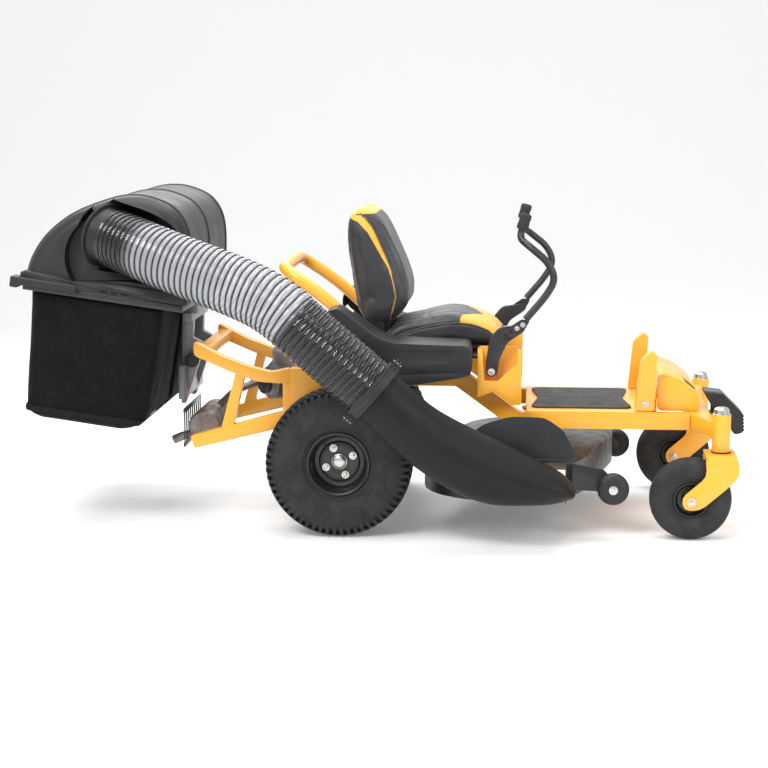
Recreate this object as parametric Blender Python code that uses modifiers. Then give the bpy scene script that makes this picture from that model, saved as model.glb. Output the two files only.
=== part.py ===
"""Zero turn mower with a twin bag grass catcher.

Metres. While the pieces are made, X runs forward from the rear axle, Y to the left and Z up from the ground.
settle_origin() then moves everything so that the origin is under the middle of the whole machine.
"""

import math

import bmesh
import bpy
from mathutils import Matrix, Vector

SIDES = (("right", -1), ("left", 1))
GAP = 0.0003  # between faces that touch
CLEAR = 0.003  # between pieces that move past each other
SHEET = 0.003  # pressed steel
MOULDING = 0.004  # moulded plastic wall

# Wheels
REAR_TYRE_RADIUS = 0.254
REAR_TYRE_WIDTH = 0.200
REAR_RIM_RADIUS = 0.1035
REAR_TRACK_HALF = 0.430
CASTER_TYRE_RADIUS = 0.1400
CASTER_TYRE_WIDTH = 0.102
CASTER_RIM_RADIUS = 0.0545
CASTER_TRACK_HALF = 0.438
WHEELBASE = 1.205
CASTER_TRAIL = 0.100

# Frame
RAIL_OUTER = 0.305
RAIL_WIDTH = 0.050
RAIL_TOP = 0.410
RAIL_DEPTH = 0.057
RAIL_REAR_TOP = 0.556
RAIL_FRONT_X = 1.210
RAIL_REAR_X = -0.190
KICK_X = (0.419, 0.619)  # top edge of the rail's sloping stretch

# Deck, at its transport height
DECK_BOTTOM = 0.135
DECK_TOP = 0.262
DECK_LOBE = 0.285
BLADE_HALF = 0.262
BLADE_X = {"right": 0.570, "left": 0.680}
BLADE_Y = 0.262

# Bagger
HOSE_RADIUS = 0.105
HOSE_WALL = 0.005
CHUTE_RADIUS = 0.0945
BAGGER_TILT = math.radians(8)
BAGGER_AT = Vector((-0.590, 0.0, 0.800))  # front edge of the hood's rim
HOOD_HALF_WIDTH = 0.465
BAG_DEPTH = 0.440

for leftover in list(bpy.data.objects):
    bpy.data.objects.remove(leftover)
PARTS = bpy.data.collections.new("zero_turn_mower")
TOOLS = bpy.data.collections.new("cutters")
for collection in (PARTS, TOOLS):
    bpy.context.scene.collection.children.link(collection)

FINISHES = {
    "yellow_paint": ((0.93, 0.42, 0.03), 0.35, 0.0),
    "black_plastic": ((0.030, 0.031, 0.033), 0.55, 0.0),
    "black_paint": ((0.020, 0.020, 0.021), 0.40, 0.0),
    "grey_steel": ((0.23, 0.24, 0.25), 0.45, 0.8),
    "bright_steel": ((0.60, 0.60, 0.60), 0.30, 1.0),
    "tyre_rubber": ((0.025, 0.025, 0.025), 0.85, 0.0),
    "soft_rubber": ((0.030, 0.030, 0.030), 0.80, 0.0),
    "seat_vinyl": ((0.040, 0.042, 0.045), 0.50, 0.0),
    "bag_fabric": ((0.012, 0.012, 0.013), 0.95, 0.0),
    "clear_hose": ((0.55, 0.56, 0.57), 0.20, 0.0),
    "cast_alloy": ((0.35, 0.35, 0.36), 0.50, 0.9),
}


def material(name):
    """One of the finishes as a Principled material."""
    if name in bpy.data.materials:
        return bpy.data.materials[name]
    colour, roughness, metallic = FINISHES[name]
    made = bpy.data.materials.new(name)
    made.use_nodes = True
    shader = made.node_tree.nodes["Principled BSDF"]
    shader.inputs["Base Color"].default_value = (*colour, 1)
    shader.inputs["Roughness"].default_value = roughness
    shader.inputs["Metallic"].default_value = metallic
    return made


def placed(name, mesh, collection=TOOLS):
    obj = bpy.data.objects.new(name, mesh)
    collection.objects.link(obj)
    if collection is TOOLS:
        obj.hide_render = True
        obj.display_type = "WIRE"
    return obj


def from_bmesh(name, bm):
    bmesh.ops.recalc_face_normals(bm, faces=bm.faces)
    mesh = bpy.data.meshes.new(name)
    bm.to_mesh(mesh)
    bm.free()
    return placed(name, mesh)


def applied(obj):
    """The object's modifiers, or a curve's bevel, worked into a welded mesh."""
    graph = bpy.context.evaluated_depsgraph_get()
    mesh = bpy.data.meshes.new_from_object(obj.evaluated_get(graph), depsgraph=graph)
    mesh.transform(obj.matrix_world)
    bm = bmesh.new()
    bm.from_mesh(mesh)
    bmesh.ops.remove_doubles(bm, verts=bm.verts, dist=1e-5)
    bmesh.ops.recalc_face_normals(bm, faces=bm.faces)
    bm.to_mesh(mesh)
    bm.free()
    name = obj.name
    bpy.data.objects.remove(obj)
    return placed(name, mesh)


def boolean(obj, others, operation):
    for other in others:
        modifier = obj.modifiers.new(operation.lower(), "BOOLEAN")
        modifier.operation = operation
        modifier.object = other
    made = applied(obj)
    for other in others:
        bpy.data.objects.remove(other)
    return made


def cut(obj, *cutters):
    return boolean(obj, cutters, "DIFFERENCE")


def join(obj, *others):
    return boolean(obj, others, "UNION")


def node(name, obj, finish, pivot=None, smooth=True):
    """Names a finished solid, colours it, and puts its origin on its pivot."""
    TOOLS.objects.unlink(obj)
    PARTS.objects.link(obj)
    obj.hide_render = False
    obj.display_type = "TEXTURED"
    obj.name = name
    obj.data.name = name
    obj.data.materials.clear()
    obj.data.materials.append(material(finish))
    if smooth:
        obj.data.shade_smooth()
        obj.data.set_sharp_from_angle(angle=math.radians(35))
    if pivot is not None:
        obj.data.transform(Matrix.Translation(-Vector(pivot)))
        obj.location = pivot
    return obj


def block(x, y, z, edge=0.0):
    """A box between the two ends given on each axis, with its edges rounded by a bevel."""
    bm = bmesh.new()
    bmesh.ops.create_cube(bm, size=1)
    size = Vector((x[1] - x[0], y[1] - y[0], z[1] - z[0]))
    middle = Vector((x[0] + x[1], y[0] + y[1], z[0] + z[1])) / 2
    bmesh.ops.transform(bm, verts=bm.verts, matrix=Matrix.Translation(middle) @ Matrix.Diagonal((*size, 1)))
    obj = from_bmesh("block", bm)
    return rounded(obj, edge) if edge else obj


def rounded(obj, width, segments=1, angle=40):
    modifier = obj.modifiers.new("edges", "BEVEL")
    modifier.width = width
    modifier.segments = segments
    modifier.limit_method = "ANGLE"
    modifier.angle_limit = math.radians(angle)
    return applied(obj)


def rod(start, end, radius, sides=16, end_radius=None):
    """A solid cylinder or cone between two points."""
    start, end = Vector(start), Vector(end)
    bm = bmesh.new()
    bmesh.ops.create_cone(
        bm,
        cap_ends=True,
        segments=sides,
        radius1=radius,
        radius2=radius if end_radius is None else end_radius,
        depth=(end - start).length,
    )
    turn = (end - start).to_track_quat("Z", "Y").to_matrix().to_4x4()
    bmesh.ops.transform(bm, verts=bm.verts, matrix=Matrix.Translation((start + end) / 2) @ turn)
    return from_bmesh("rod", bm)


PLANES = {
    "X": Matrix(((0, 0, 1), (1, 0, 0), (0, 1, 0))),  # outline given as (y, z)
    "Y": Matrix(((1, 0, 0), (0, 0, -1), (0, 1, 0))),  # outline given as (x, z)
    "Z": Matrix(((1, 0, 0), (0, 1, 0), (0, 0, 1))),  # outline given as (x, y)
}


def corner_arcs(points, radius, steps=2):
    """The outline with each corner turned into an arc, as far as its two sides allow."""
    made = []
    count = len(points)
    for i, corner in enumerate(points):
        corner = Vector(corner)
        before = Vector(points[i - 1]) - corner
        after = Vector(points[(i + 1) % count]) - corner
        reach = min(radius, before.length * 0.45, after.length * 0.45)
        start = corner + before.normalized() * reach
        end = corner + after.normalized() * reach
        for step in range(steps + 1):
            t = step / steps
            made.append(tuple((1 - t) ** 2 * start + 2 * t * (1 - t) * corner + t**2 * end))
    return made


def plate(outline, axis, low, high, corner=0.0, edge=0.0, segments=1):
    """A flat outline made as thick as low to high along an axis."""
    curve = bpy.data.curves.new("plate", "CURVE")
    curve.dimensions = "2D"
    curve.fill_mode = "BOTH"
    curve.extrude = (high - low) / 2
    for ring in [corner_arcs(outline, corner) if corner else outline]:
        spline = curve.splines.new("POLY")
        spline.points.add(len(ring) - 1)
        for point, (u, v) in zip(spline.points, ring):
            point.co = (u, v, 0, 1)
        spline.use_cyclic_u = True
    obj = placed("plate", curve)
    middle = (low + high) / 2
    obj.matrix_world = PLANES[axis].to_4x4()
    shift = {"X": (middle, 0, 0), "Y": (0, middle, 0), "Z": (0, 0, middle)}[axis]
    obj.matrix_world = Matrix.Translation(shift) @ obj.matrix_world
    bpy.context.view_layer.update()
    obj = applied(obj)
    return rounded(obj, edge, segments, 60) if edge else obj


def ring(centre, radius, steps=20, start=0.0, sweep=math.tau):
    """Points round a circle or an arc in an outline's plane."""
    whole = abs(sweep) >= math.tau - 1e-6
    count = steps if whole else steps + 1
    return [
        (
            centre[0] + radius * math.cos(start + sweep * i / steps),
            centre[1] + radius * math.sin(start + sweep * i / steps),
        )
        for i in range(count)
    ]


def turned(profile, centre, axis, steps=40, closed=False):
    """A (radius, along) profile turned about an axis through centre; an open one ends on the axis."""
    bm = bmesh.new()
    points = [bm.verts.new((r, 0, along)) for r, along in profile]
    for first, second in zip(points, points[1:] + points[:1] if closed else points[1:]):
        bm.edges.new((first, second))
    mesh = bpy.data.meshes.new("turned")
    bm.to_mesh(mesh)
    bm.free()
    obj = placed("turned", mesh)
    screw = obj.modifiers.new("turn", "SCREW")
    screw.steps = screw.render_steps = steps
    screw.use_merge_vertices = True
    screw.merge_threshold = 1e-5
    turn = Vector(axis).to_track_quat("Z", "Y").to_matrix().to_4x4()
    obj.matrix_world = Matrix.Translation(centre) @ turn
    bpy.context.view_layer.update()
    return applied(obj)


def smooth_path(points, per_span=6):
    """Points along one smooth curve through the given ones."""
    points = [Vector(p) for p in points]
    padded = [2 * points[0] - points[1], *points, 2 * points[-1] - points[-2]]
    made = []
    for a, b, c, d in zip(padded, padded[1:], padded[2:], padded[3:]):
        for step in range(per_span):
            t = step / per_span
            made.append(
                0.5
                * (
                    2 * b
                    + (c - a) * t
                    + (2 * a - 5 * b + 4 * c - d) * t**2
                    + (3 * b - a - 3 * c + d) * t**3
                )
            )
    return [*made, points[-1]]


def bent_path(points, radius, steps=5):
    """The polyline with each inner corner turned into an arc."""
    points = [Vector(p) for p in points]
    made = [points[0]]
    for before, corner, after in zip(points, points[1:], points[2:]):
        back, on = before - corner, after - corner
        reach = min(radius, back.length * 0.45, on.length * 0.45)
        start, end = corner + back.normalized() * reach, corner + on.normalized() * reach
        for step in range(steps + 1):
            t = step / steps
            made.append((1 - t) ** 2 * start + 2 * t * (1 - t) * corner + t**2 * end)
    return [*made, points[-1]]


def tube(path, radius, resolution=2):
    """A solid round bar along a path."""
    curve = bpy.data.curves.new("tube", "CURVE")
    curve.dimensions = "3D"
    curve.bevel_depth = radius
    curve.bevel_resolution = resolution
    curve.use_fill_caps = True
    spline = curve.splines.new("POLY")
    spline.points.add(len(path) - 1)
    for point, place in zip(spline.points, path):
        point.co = (*place, 1)
    return applied(placed("tube", curve))


def loft(sections):
    """A closed skin through rings of equally many points."""
    bm = bmesh.new()
    rows = [[bm.verts.new(point) for point in section] for section in sections]
    count = len(rows[0])
    for first, second in zip(rows, rows[1:]):
        for i in range(count):
            j = (i + 1) % count
            bm.faces.new((first[i], first[j], second[j], second[i]))
    bm.faces.new(rows[0][::-1])
    bm.faces.new(rows[-1])
    return from_bmesh("loft", bm)


# ---------------------------------------------------------------- wheels


def tyre(radius, width, bore):
    """Half the section is drawn, then mirrored, so the tread and both beads follow the same sizes."""
    half = width / 2
    side = [
        (bore, half * 0.62),
        (bore + 0.18 * (radius - bore), half * 0.78),
        (bore + 0.50 * (radius - bore), half),
        (bore + 0.78 * (radius - bore), half * 0.96),
        (radius - 0.05 * (radius - bore), half * 0.76),
        (radius, half * 0.36),
    ]
    return [*side, *[(r, -along) for r, along in side[::-1]]]


def rim(radius, width, disc, hub):
    """A drop-centre rim with its disc. disc is the disc's place along the axle, hub its centre hole."""
    half = width / 2 * 0.62
    wall = 0.004
    lip = radius + 0.013
    return [
        (hub, disc - wall / 2),
        (radius * 0.70, disc - wall / 2),
        (radius - 0.022, disc - 0.012),
        (radius - 0.022, -half * 0.5),
        (radius - wall - GAP, -half),
        (radius - wall - GAP, -half - 0.016),
        (lip, -half - 0.016),
        (lip, -half - 0.010),
        (radius - GAP, -half - 0.001),
        (radius - GAP, -half * 0.7),
        (radius - 0.018, -half * 0.45),
        (radius - 0.018, half * 0.45),
        (radius - GAP, half * 0.7),
        (radius - GAP, half + 0.001),
        (lip, half + 0.010),
        (lip, half + 0.016),
        (radius - wall - GAP, half + 0.016),
        (radius - wall - GAP, half),
        (radius - 0.022, half * 0.5),
        (radius - 0.022, disc + 0.006),
        (radius * 0.70, disc + wall / 2),
        (hub, disc + wall / 2),
    ]


REAR_STEPS = 24  # a tyre and its rim turn in the same steps, so that they fit
CASTER_STEPS = 20
HUB_FLANGE = 0.062
LUG_CIRCLE = 0.0508
AXLE_RADIUS = 0.016


def rear_wheels():
    for side, sign in SIDES:
        centre = Vector((0, sign * REAR_TRACK_HALF, REAR_TYRE_RADIUS))
        axis = Vector((0, sign, 0))
        section = tyre(REAR_TYRE_RADIUS, REAR_TYRE_WIDTH, REAR_RIM_RADIUS)
        solid = turned(section, centre, axis, REAR_STEPS, closed=True)
        node(f"rear_tyre_{side}", solid, "tyre_rubber", centre)
        disc_at = 0.018
        section = rim(REAR_RIM_RADIUS, REAR_TYRE_WIDTH, disc_at, 0.034)
        solid = turned(section, centre, axis, REAR_STEPS, closed=True)
        flange = centre + axis * (disc_at - 0.002)
        hub = join(
            rod(flange - axis * 0.024, flange + axis * 0.0, HUB_FLANGE, 16),
            rod(flange - axis * 0.10, flange + axis * 0.030, 0.026, 14),
        )
        solid = join(solid, hub)
        for turn in range(4):
            angle = math.radians(45 + 90 * turn)
            at = Vector((math.cos(angle), 0, math.sin(angle))) * LUG_CIRCLE + centre
            solid = join(solid, rod(at + axis * (disc_at - 0.010), at + axis * (disc_at + 0.018), 0.0105, 6))
        node(f"rear_rim_{side}", solid, "black_paint", centre)


SPINDLE_X = WHEELBASE + CASTER_TRAIL
SPINDLE_BOTTOM = 0.303
SPINDLE_TOP = 0.431
SPINDLE_TUBE = 0.032
FORK_WALL = 0.008
FORK_INNER = CASTER_TYRE_WIDTH / 2 + 0.009


def caster_wheels():
    for side, sign in SIDES:
        axle = Vector((WHEELBASE, sign * CASTER_TRACK_HALF, CASTER_TYRE_RADIUS))
        axis = Vector((0, sign, 0))
        solid = turned(
            tyre(CASTER_TYRE_RADIUS, CASTER_TYRE_WIDTH, CASTER_RIM_RADIUS),
            axle,
            axis,
            CASTER_STEPS,
            closed=True,
        )
        node(f"caster_tyre_{side}", solid, "tyre_rubber", axle)
        half = CASTER_TYRE_WIDTH / 2
        core = turned(
            [
                (0.0135, -half),
                (0.024, -half),
                (0.024, -half * 0.72),
                (CASTER_RIM_RADIUS - GAP, -half * 0.72),
                (CASTER_RIM_RADIUS - GAP, half * 0.72),
                (0.024, half * 0.72),
                (0.024, half),
                (0.0135, half),
            ],
            axle,
            axis,
            CASTER_STEPS,
            closed=True,
        )
        node(f"caster_rim_{side}", core, "black_paint", axle)
        node(f"caster_fork_{side}", caster_fork(axle, sign), "yellow_paint", (SPINDLE_X, axle.y, axle.z))


def caster_fork(axle, sign):
    """A bent plate fork with its spindle stub and wheel bolt."""
    top = SPINDLE_BOTTOM - CLEAR
    side = [
        (SPINDLE_X + 0.052, top),
        (SPINDLE_X + 0.062, top - 0.070),
        (SPINDLE_X + 0.020, top - 0.112),
        (axle.x + 0.030, axle.z - 0.030),
        (axle.x - 0.026, axle.z - 0.030),
        (axle.x - 0.034, axle.z + 0.012),
        (SPINDLE_X - 0.050, top - 0.075),
        (SPINDLE_X - 0.056, top),
    ]
    solid = None
    for hand in (-1, 1):
        near, far = sorted((axle.y + hand * FORK_INNER, axle.y + hand * (FORK_INNER + FORK_WALL)))
        cheek = plate(side, "Y", near, far, corner=0.022)
        solid = cheek if solid is None else join(solid, cheek)
    reach = FORK_INNER + FORK_WALL - 0.001
    solid = join(
        solid,
        block(
            (SPINDLE_X - 0.054, SPINDLE_X + 0.050),
            (axle.y - reach, axle.y + reach),
            (top - 0.010, top - 0.0005),
            0.002,
        ),
        rod((SPINDLE_X, axle.y, top - 0.004), (SPINDLE_X, axle.y, SPINDLE_TOP + 0.012), 0.0125, 16),
        rod((SPINDLE_X, axle.y, SPINDLE_TOP + 0.003), (SPINDLE_X, axle.y, SPINDLE_TOP + 0.020), 0.024, 16),
        rod(
            axle - Vector((0, reach + 0.012, 0)),
            axle + Vector((0, reach + 0.012, 0)),
            0.0115,
            12,
        ),
    )
    return solid


# ---------------------------------------------------------------- frame


def frame_rails():
    """Side rails: low at the front, stepped up under the seat, with a plate down to the drive at the rear."""
    bottom = RAIL_TOP - RAIL_DEPTH
    slope = (RAIL_REAR_TOP - RAIL_TOP) / (KICK_X[1] - KICK_X[0])
    shift = RAIL_DEPTH * 0.42
    outline = [
        (RAIL_FRONT_X, bottom),
        (RAIL_FRONT_X, RAIL_TOP),
        (KICK_X[1], RAIL_TOP),
        (KICK_X[0], RAIL_REAR_TOP),
        (RAIL_REAR_X, RAIL_REAR_TOP),
        (RAIL_REAR_X, DRIVE_TOP + 0.010),
        (0.110, DRIVE_TOP + 0.010),
        (0.160, RAIL_REAR_TOP - RAIL_DEPTH),
        (KICK_X[0] - shift, RAIL_REAR_TOP - RAIL_DEPTH),
        (KICK_X[0] - shift + (RAIL_REAR_TOP - bottom - RAIL_DEPTH) / slope, bottom),
    ]
    for side, sign in SIDES:
        low, high = sorted((sign * RAIL_OUTER, sign * (RAIL_OUTER - RAIL_WIDTH)))
        node(f"frame_rail_{side}", plate(outline, "Y", low, high, corner=0.006, edge=0.003), "yellow_paint")


DRIVE_TOP = 0.322
BEAM_X = (RAIL_FRONT_X + GAP, RAIL_FRONT_X + 0.060)


def front_beam():
    """The cross beam ahead of the rails, with a spindle tube at each end."""
    bottom = RAIL_TOP - RAIL_DEPTH
    half = CASTER_TRACK_HALF
    outline = [
        (BEAM_X[0], -RAIL_OUTER),
        (BEAM_X[0], RAIL_OUTER),
        (SPINDLE_X - 0.028, half + 0.020),
        (SPINDLE_X + 0.010, half - 0.010),
        (BEAM_X[1] + 0.012, RAIL_OUTER - 0.020),
        (BEAM_X[1] + 0.012, -RAIL_OUTER + 0.020),
        (SPINDLE_X + 0.010, -half + 0.010),
        (SPINDLE_X - 0.028, -half - 0.020),
    ]
    beam = plate(outline, "Z", bottom, RAIL_TOP, corner=0.012, edge=0.003)
    bores = []
    for _, sign in SIDES:
        foot = Vector((SPINDLE_X, sign * half, SPINDLE_BOTTOM))
        beam = join(beam, rod(foot, (foot.x, foot.y, SPINDLE_TOP), SPINDLE_TUBE, 28))
        bores.append(rod(foot - Vector((0, 0, 0.02)), (foot.x, foot.y, SPINDLE_TOP + 0.02), 0.014, 20))
    node("front_beam", cut(beam, *bores), "yellow_paint")


def engine_plate():
    """The cross plate that carries the engine and closes the frame at the back."""
    inner = RAIL_OUTER - RAIL_WIDTH - GAP
    solid = block(
        (RAIL_REAR_X + 0.002, 0.130),
        (-inner, inner),
        (ENGINE_BOTTOM - 0.006, ENGINE_BOTTOM - GAP),
        0.001,
    )
    shaft = rod((ENGINE_AT.x, 0, 0.3), (ENGINE_AT.x, 0, 0.5), 0.035, 20)
    node("engine_plate", cut(solid, shaft), "black_paint")


ENGINE_BOTTOM = 0.420
ENGINE_AT = Vector((-0.130, 0.0, 0.0))


def engine():
    """A V-twin with its shaft upright: sump, two finned cylinders, blower housing and air cleaner."""
    x = ENGINE_AT.x
    solid = rod((x, 0, ENGINE_BOTTOM), (x, 0, ENGINE_BOTTOM + 0.110), 0.130, 20)
    solid = join(
        solid,
        turned(
            [
                (0, 0.095),
                (0.155, 0.095),
                (0.160, 0.110),
                (0.160, 0.165),
                (0.135, 0.195),
                (0.060, 0.205),
                (0, 0.205),
            ],
            (x, 0, ENGINE_BOTTOM),
            (0, 0, 1),
            20,
        ),
    )
    for _, sign in SIDES:
        direction = Vector((-0.72, sign * 0.60, 0)).normalized()
        start = Vector((x, 0, ENGINE_BOTTOM + 0.060))
        solid = join(solid, rod(start, start + direction * 0.215, 0.044, 12))
        for fin in range(3):
            at = start + direction * (0.150 + 0.014 * fin)
            solid = join(solid, rod(at, at + direction * 0.006, 0.053, 12))
    solid = join(
        solid,
        block((x + 0.010, x + 0.150), (-0.085, 0.085), (ENGINE_BOTTOM + 0.190, ENGINE_BOTTOM + 0.245), 0.012),
        rod((x, 0, ENGINE_BOTTOM + 0.01), (x, 0, ENGINE_BOTTOM - 0.060), 0.0127, 16),
    )
    node("engine", solid, "black_plastic")
    pulley = turned(
        [
            (0.0130, -0.022),
            (0.062, -0.022),
            (0.062, -0.018),
            (0.052, -0.011),
            (0.062, -0.004),
            (0.062, 0),
            (0.0130, 0),
        ],
        (x, 0, ENGINE_BOTTOM - 0.036),
        (0, 0, 1),
        32,
        closed=True,
    )
    node("engine_pulley", pulley, "grey_steel", (x, 0, ENGINE_BOTTOM - 0.047))


def drive_units():
    """A hydrostatic drive under each rail with its axle out to the wheel hub."""
    for side, sign in SIDES:
        z = REAR_TYRE_RADIUS
        low, high = sorted((sign * 0.085, sign * 0.300))
        case = block((-0.075, 0.085), (low, high), (z - 0.062, DRIVE_TOP), 0.014)
        inner_end = REAR_TRACK_HALF + 0.016 - 0.10 - CLEAR
        case = join(
            case,
            rod((0, sign * 0.290, z), (0, sign * inner_end, z), AXLE_RADIUS, 16),
            rod(
                (0.030, sign * 0.150, DRIVE_TOP - 0.002),
                (0.030, sign * 0.150, DRIVE_TOP + 0.030),
                0.040,
                20,
            ),
        )
        node(f"drive_unit_{side}", case, "cast_alloy")


def exhaust():
    """Muffler behind the engine with its slotted guard and tail pipe."""
    body = rod((-0.520, -0.150, 0.318), (-0.520, 0.150, 0.318), 0.058, 28)
    body = rounded(body, 0.006)
    outlet = [(-0.520, -0.110, 0.290), (-0.600, -0.110, 0.280), (-0.640, -0.110, 0.262)]
    body = join(
        body,
        tube(bent_path(outlet, 0.03), 0.016),
        tube(
            bent_path([(-0.500, 0.060, 0.360), (-0.440, 0.060, 0.420), (-0.340, 0.100, 0.455)], 0.03),
            0.014,
        ),
    )
    node("muffler", body, "grey_steel")


def rear_guards():
    """A side frame each side of the engine: upper bar, lower bar and the strut between them."""
    upper = [
        (RAIL_REAR_X - GAP, 0.556),
        (-0.256, 0.541),
        (-0.327, 0.558),
        (-0.420, 0.592),
        (-0.530, 0.648),
        (-0.530, 0.598),
        (-0.388, 0.536),
        (-0.300, 0.506),
        (RAIL_REAR_X - GAP, 0.500),
    ]
    lower = [
        (RAIL_REAR_X - GAP, 0.402),
        (-0.211, 0.402),
        (-0.545, 0.310),
        (-0.532, 0.266),
        (RAIL_REAR_X - GAP, 0.350),
    ]
    strut = [(-0.346, 0.545), (-0.398, 0.320), (-0.440, 0.320), (-0.380, 0.545)]
    post = [(RAIL_REAR_X - GAP, 0.520), (RAIL_REAR_X - GAP, 0.370), (-0.215, 0.370), (-0.215, 0.520)]
    for side, sign in SIDES:
        low, high = sorted((sign * (RAIL_OUTER - 0.002), sign * (RAIL_OUTER - RAIL_WIDTH + 0.002)))
        inset = 0.004
        solid = join(
            plate(upper, "Y", low, high, corner=0.012),
            plate(lower, "Y", low, high, corner=0.006),
            plate(strut, "Y", low + inset, high - inset),
            plate(post, "Y", low + inset, high - inset),
        )
        node(f"rear_guard_{side}", solid, "yellow_paint")
    reach = RAIL_OUTER - RAIL_WIDTH + 0.002 - GAP
    node("rear_crossbar", block((-0.525, -0.475), (-reach, reach), (0.588, 0.626), 0.004), "yellow_paint")


def seat_hoop():
    """The bent tube behind the seat, its feet on the rails."""
    half = RAIL_OUTER - RAIL_WIDTH / 2
    foot_x = 0.120
    foot_z = RAIL_REAR_TOP + GAP
    path = [
        (foot_x, -half, foot_z),
        (foot_x, -half, 0.640),
        (-0.085, -half, 0.819),
        (-0.215, -half + 0.010, 0.905),
        (-0.215, half - 0.010, 0.905),
        (-0.085, half, 0.819),
        (foot_x, half, 0.640),
        (foot_x, half, foot_z),
    ]
    node("seat_hoop", tube(bent_path(path, 0.09, 4), 0.0215, 2), "yellow_paint")


def floor():
    """The foot well: a folded pan on the rails with a rubber mat on it."""
    half = RAIL_OUTER - 0.004
    base = RAIL_TOP + GAP
    pan = join(
        block((0.640, 1.095), (-half, half), (base, base + SHEET), 0.001),
        block((0.640, 0.644), (-half, half), (base, base + 0.030), 0.001),
        block((1.091, 1.095), (-half, half), (base, base + 0.050), 0.001),
    )
    node("floor_pan", pan, "yellow_paint")
    mat = [(0.655, -0.235), (1.015, -0.235), (0.985, 0.0), (1.015, 0.235), (0.655, 0.235), (0.685, 0.0)]
    base += SHEET + GAP
    node("foot_mat", plate(mat, "Z", base, base + 0.006, corner=0.05), "soft_rubber")


def front_cowl():
    """The raised front cover between the uprights, open below."""
    outline = [
        (1.098, RAIL_TOP + GAP),
        (1.098, 0.530),
        (1.118, 0.545),
        (1.185, 0.520),
        (1.246, 0.470),
        (1.246, RAIL_TOP + GAP),
    ]
    solid = plate(outline, "Y", -0.245, 0.245, corner=0.018, edge=0.006)
    hollow = [
        (1.098 + SHEET, RAIL_TOP - 0.01),
        (1.098 + SHEET, 0.526),
        (1.119, 0.541),
        (1.183, 0.516),
        (1.246 - SHEET, 0.468),
        (1.246 - SHEET, RAIL_TOP - 0.01),
    ]
    solid = cut(solid, plate(hollow, "Y", -0.241, 0.241))
    y = PEDAL_PIVOT.y
    slot = block((1.196, 1.260), (y - PEDAL_HALF - 0.006, y + PEDAL_HALF + 0.006), (0.425, 0.560))
    node("front_cowl", cut(solid, slot), "yellow_paint")
    upright = [
        (1.018, RAIL_TOP + 0.004 + GAP),
        (1.037, 0.594),
        (1.071, 0.628),
        (1.094, 0.616),
        (1.090, 0.560),
        (1.090, RAIL_TOP + 0.004 + GAP),
    ]
    for side, sign in SIDES:
        low, high = sorted((sign * 0.250, sign * 0.290))
        solid = plate(upright, "Y", low, high, corner=0.012, edge=0.003)
        node(f"upright_{side}", solid, "yellow_paint")


# ---------------------------------------------------------------- operator's place

SEAT_HALF = 0.205
SEAT_FRONT_X = 0.548
SEAT_PIVOT = Vector((0.520, 0.0, 0.622))
CONSOLE_X = (0.472, 0.624)
CONSOLE_TOP = 0.642
CONSOLE_Y = (RAIL_OUTER + GAP, RAIL_OUTER + 0.074)
LEVER_Y = sum(CONSOLE_Y) / 2
LEVER_PIVOT = Vector((0.520, 0.0, 0.560))
FENDER_INNER = 0.250
FENDER_OUTER = 0.470


def seat():
    """A sprung base, the cushion on it and the backrest behind."""
    base = join(
        block((0.130, 0.500), (-0.170, 0.170), (0.610, 0.632), 0.006),
        rod((0.510, -0.165, SEAT_PIVOT.z), (0.510, 0.165, SEAT_PIVOT.z), 0.009, 14),
        block((0.490, 0.512), (-0.150, -0.110), (0.611, 0.631)),
        block((0.490, 0.512), (0.110, 0.150), (0.611, 0.631)),
    )
    node("seat_base", base, "black_paint", SEAT_PIVOT)
    side = [
        (0.158, 0.634),
        (0.158, 0.690),
        (0.250, 0.712),
        (0.369, 0.738),
        (0.480, 0.716),
        (SEAT_FRONT_X, 0.672),
        (0.536, 0.636),
    ]
    cushion = plate(side, "Y", -SEAT_HALF, SEAT_HALF, corner=0.030, edge=0.016, segments=2)
    node("seat_cushion", cushion, "seat_vinyl", SEAT_PIVOT)
    side = [
        (0.150, 0.700),
        (0.210, 0.745),
        (0.228, 0.790),
        (0.205, 0.900),
        (0.130, 1.060),
        (0.080, 1.116),
        (0.040, 1.120),
        (0.005, 1.085),
        (0.004, 0.960),
        (0.030, 0.800),
        (0.060, 0.705),
    ]
    back = plate(side, "Y", -SEAT_HALF, SEAT_HALF, corner=0.030, edge=0.020, segments=2)
    bracket = block((0.122, 0.158 - GAP), (-0.120, 0.120), (0.640, 0.740), 0.002)
    node("seat_back", join(back, bracket), "seat_vinyl", SEAT_PIVOT)


def seat_mount():
    """The cross bracket that the seat slides and hinges on, its feet on the rails."""
    half = RAIL_OUTER - 0.010
    solid = join(
        block((0.170, 0.500), (-half + 0.025, half - 0.025), (0.592, 0.606), 0.003),
        block((0.190, 0.360), (-half, -half + 0.030), (RAIL_REAR_TOP + GAP, 0.606), 0.003),
        block((0.190, 0.360), (half - 0.030, half), (RAIL_REAR_TOP + GAP, 0.606), 0.003),
    )
    node("seat_mount", solid, "black_paint")


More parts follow.
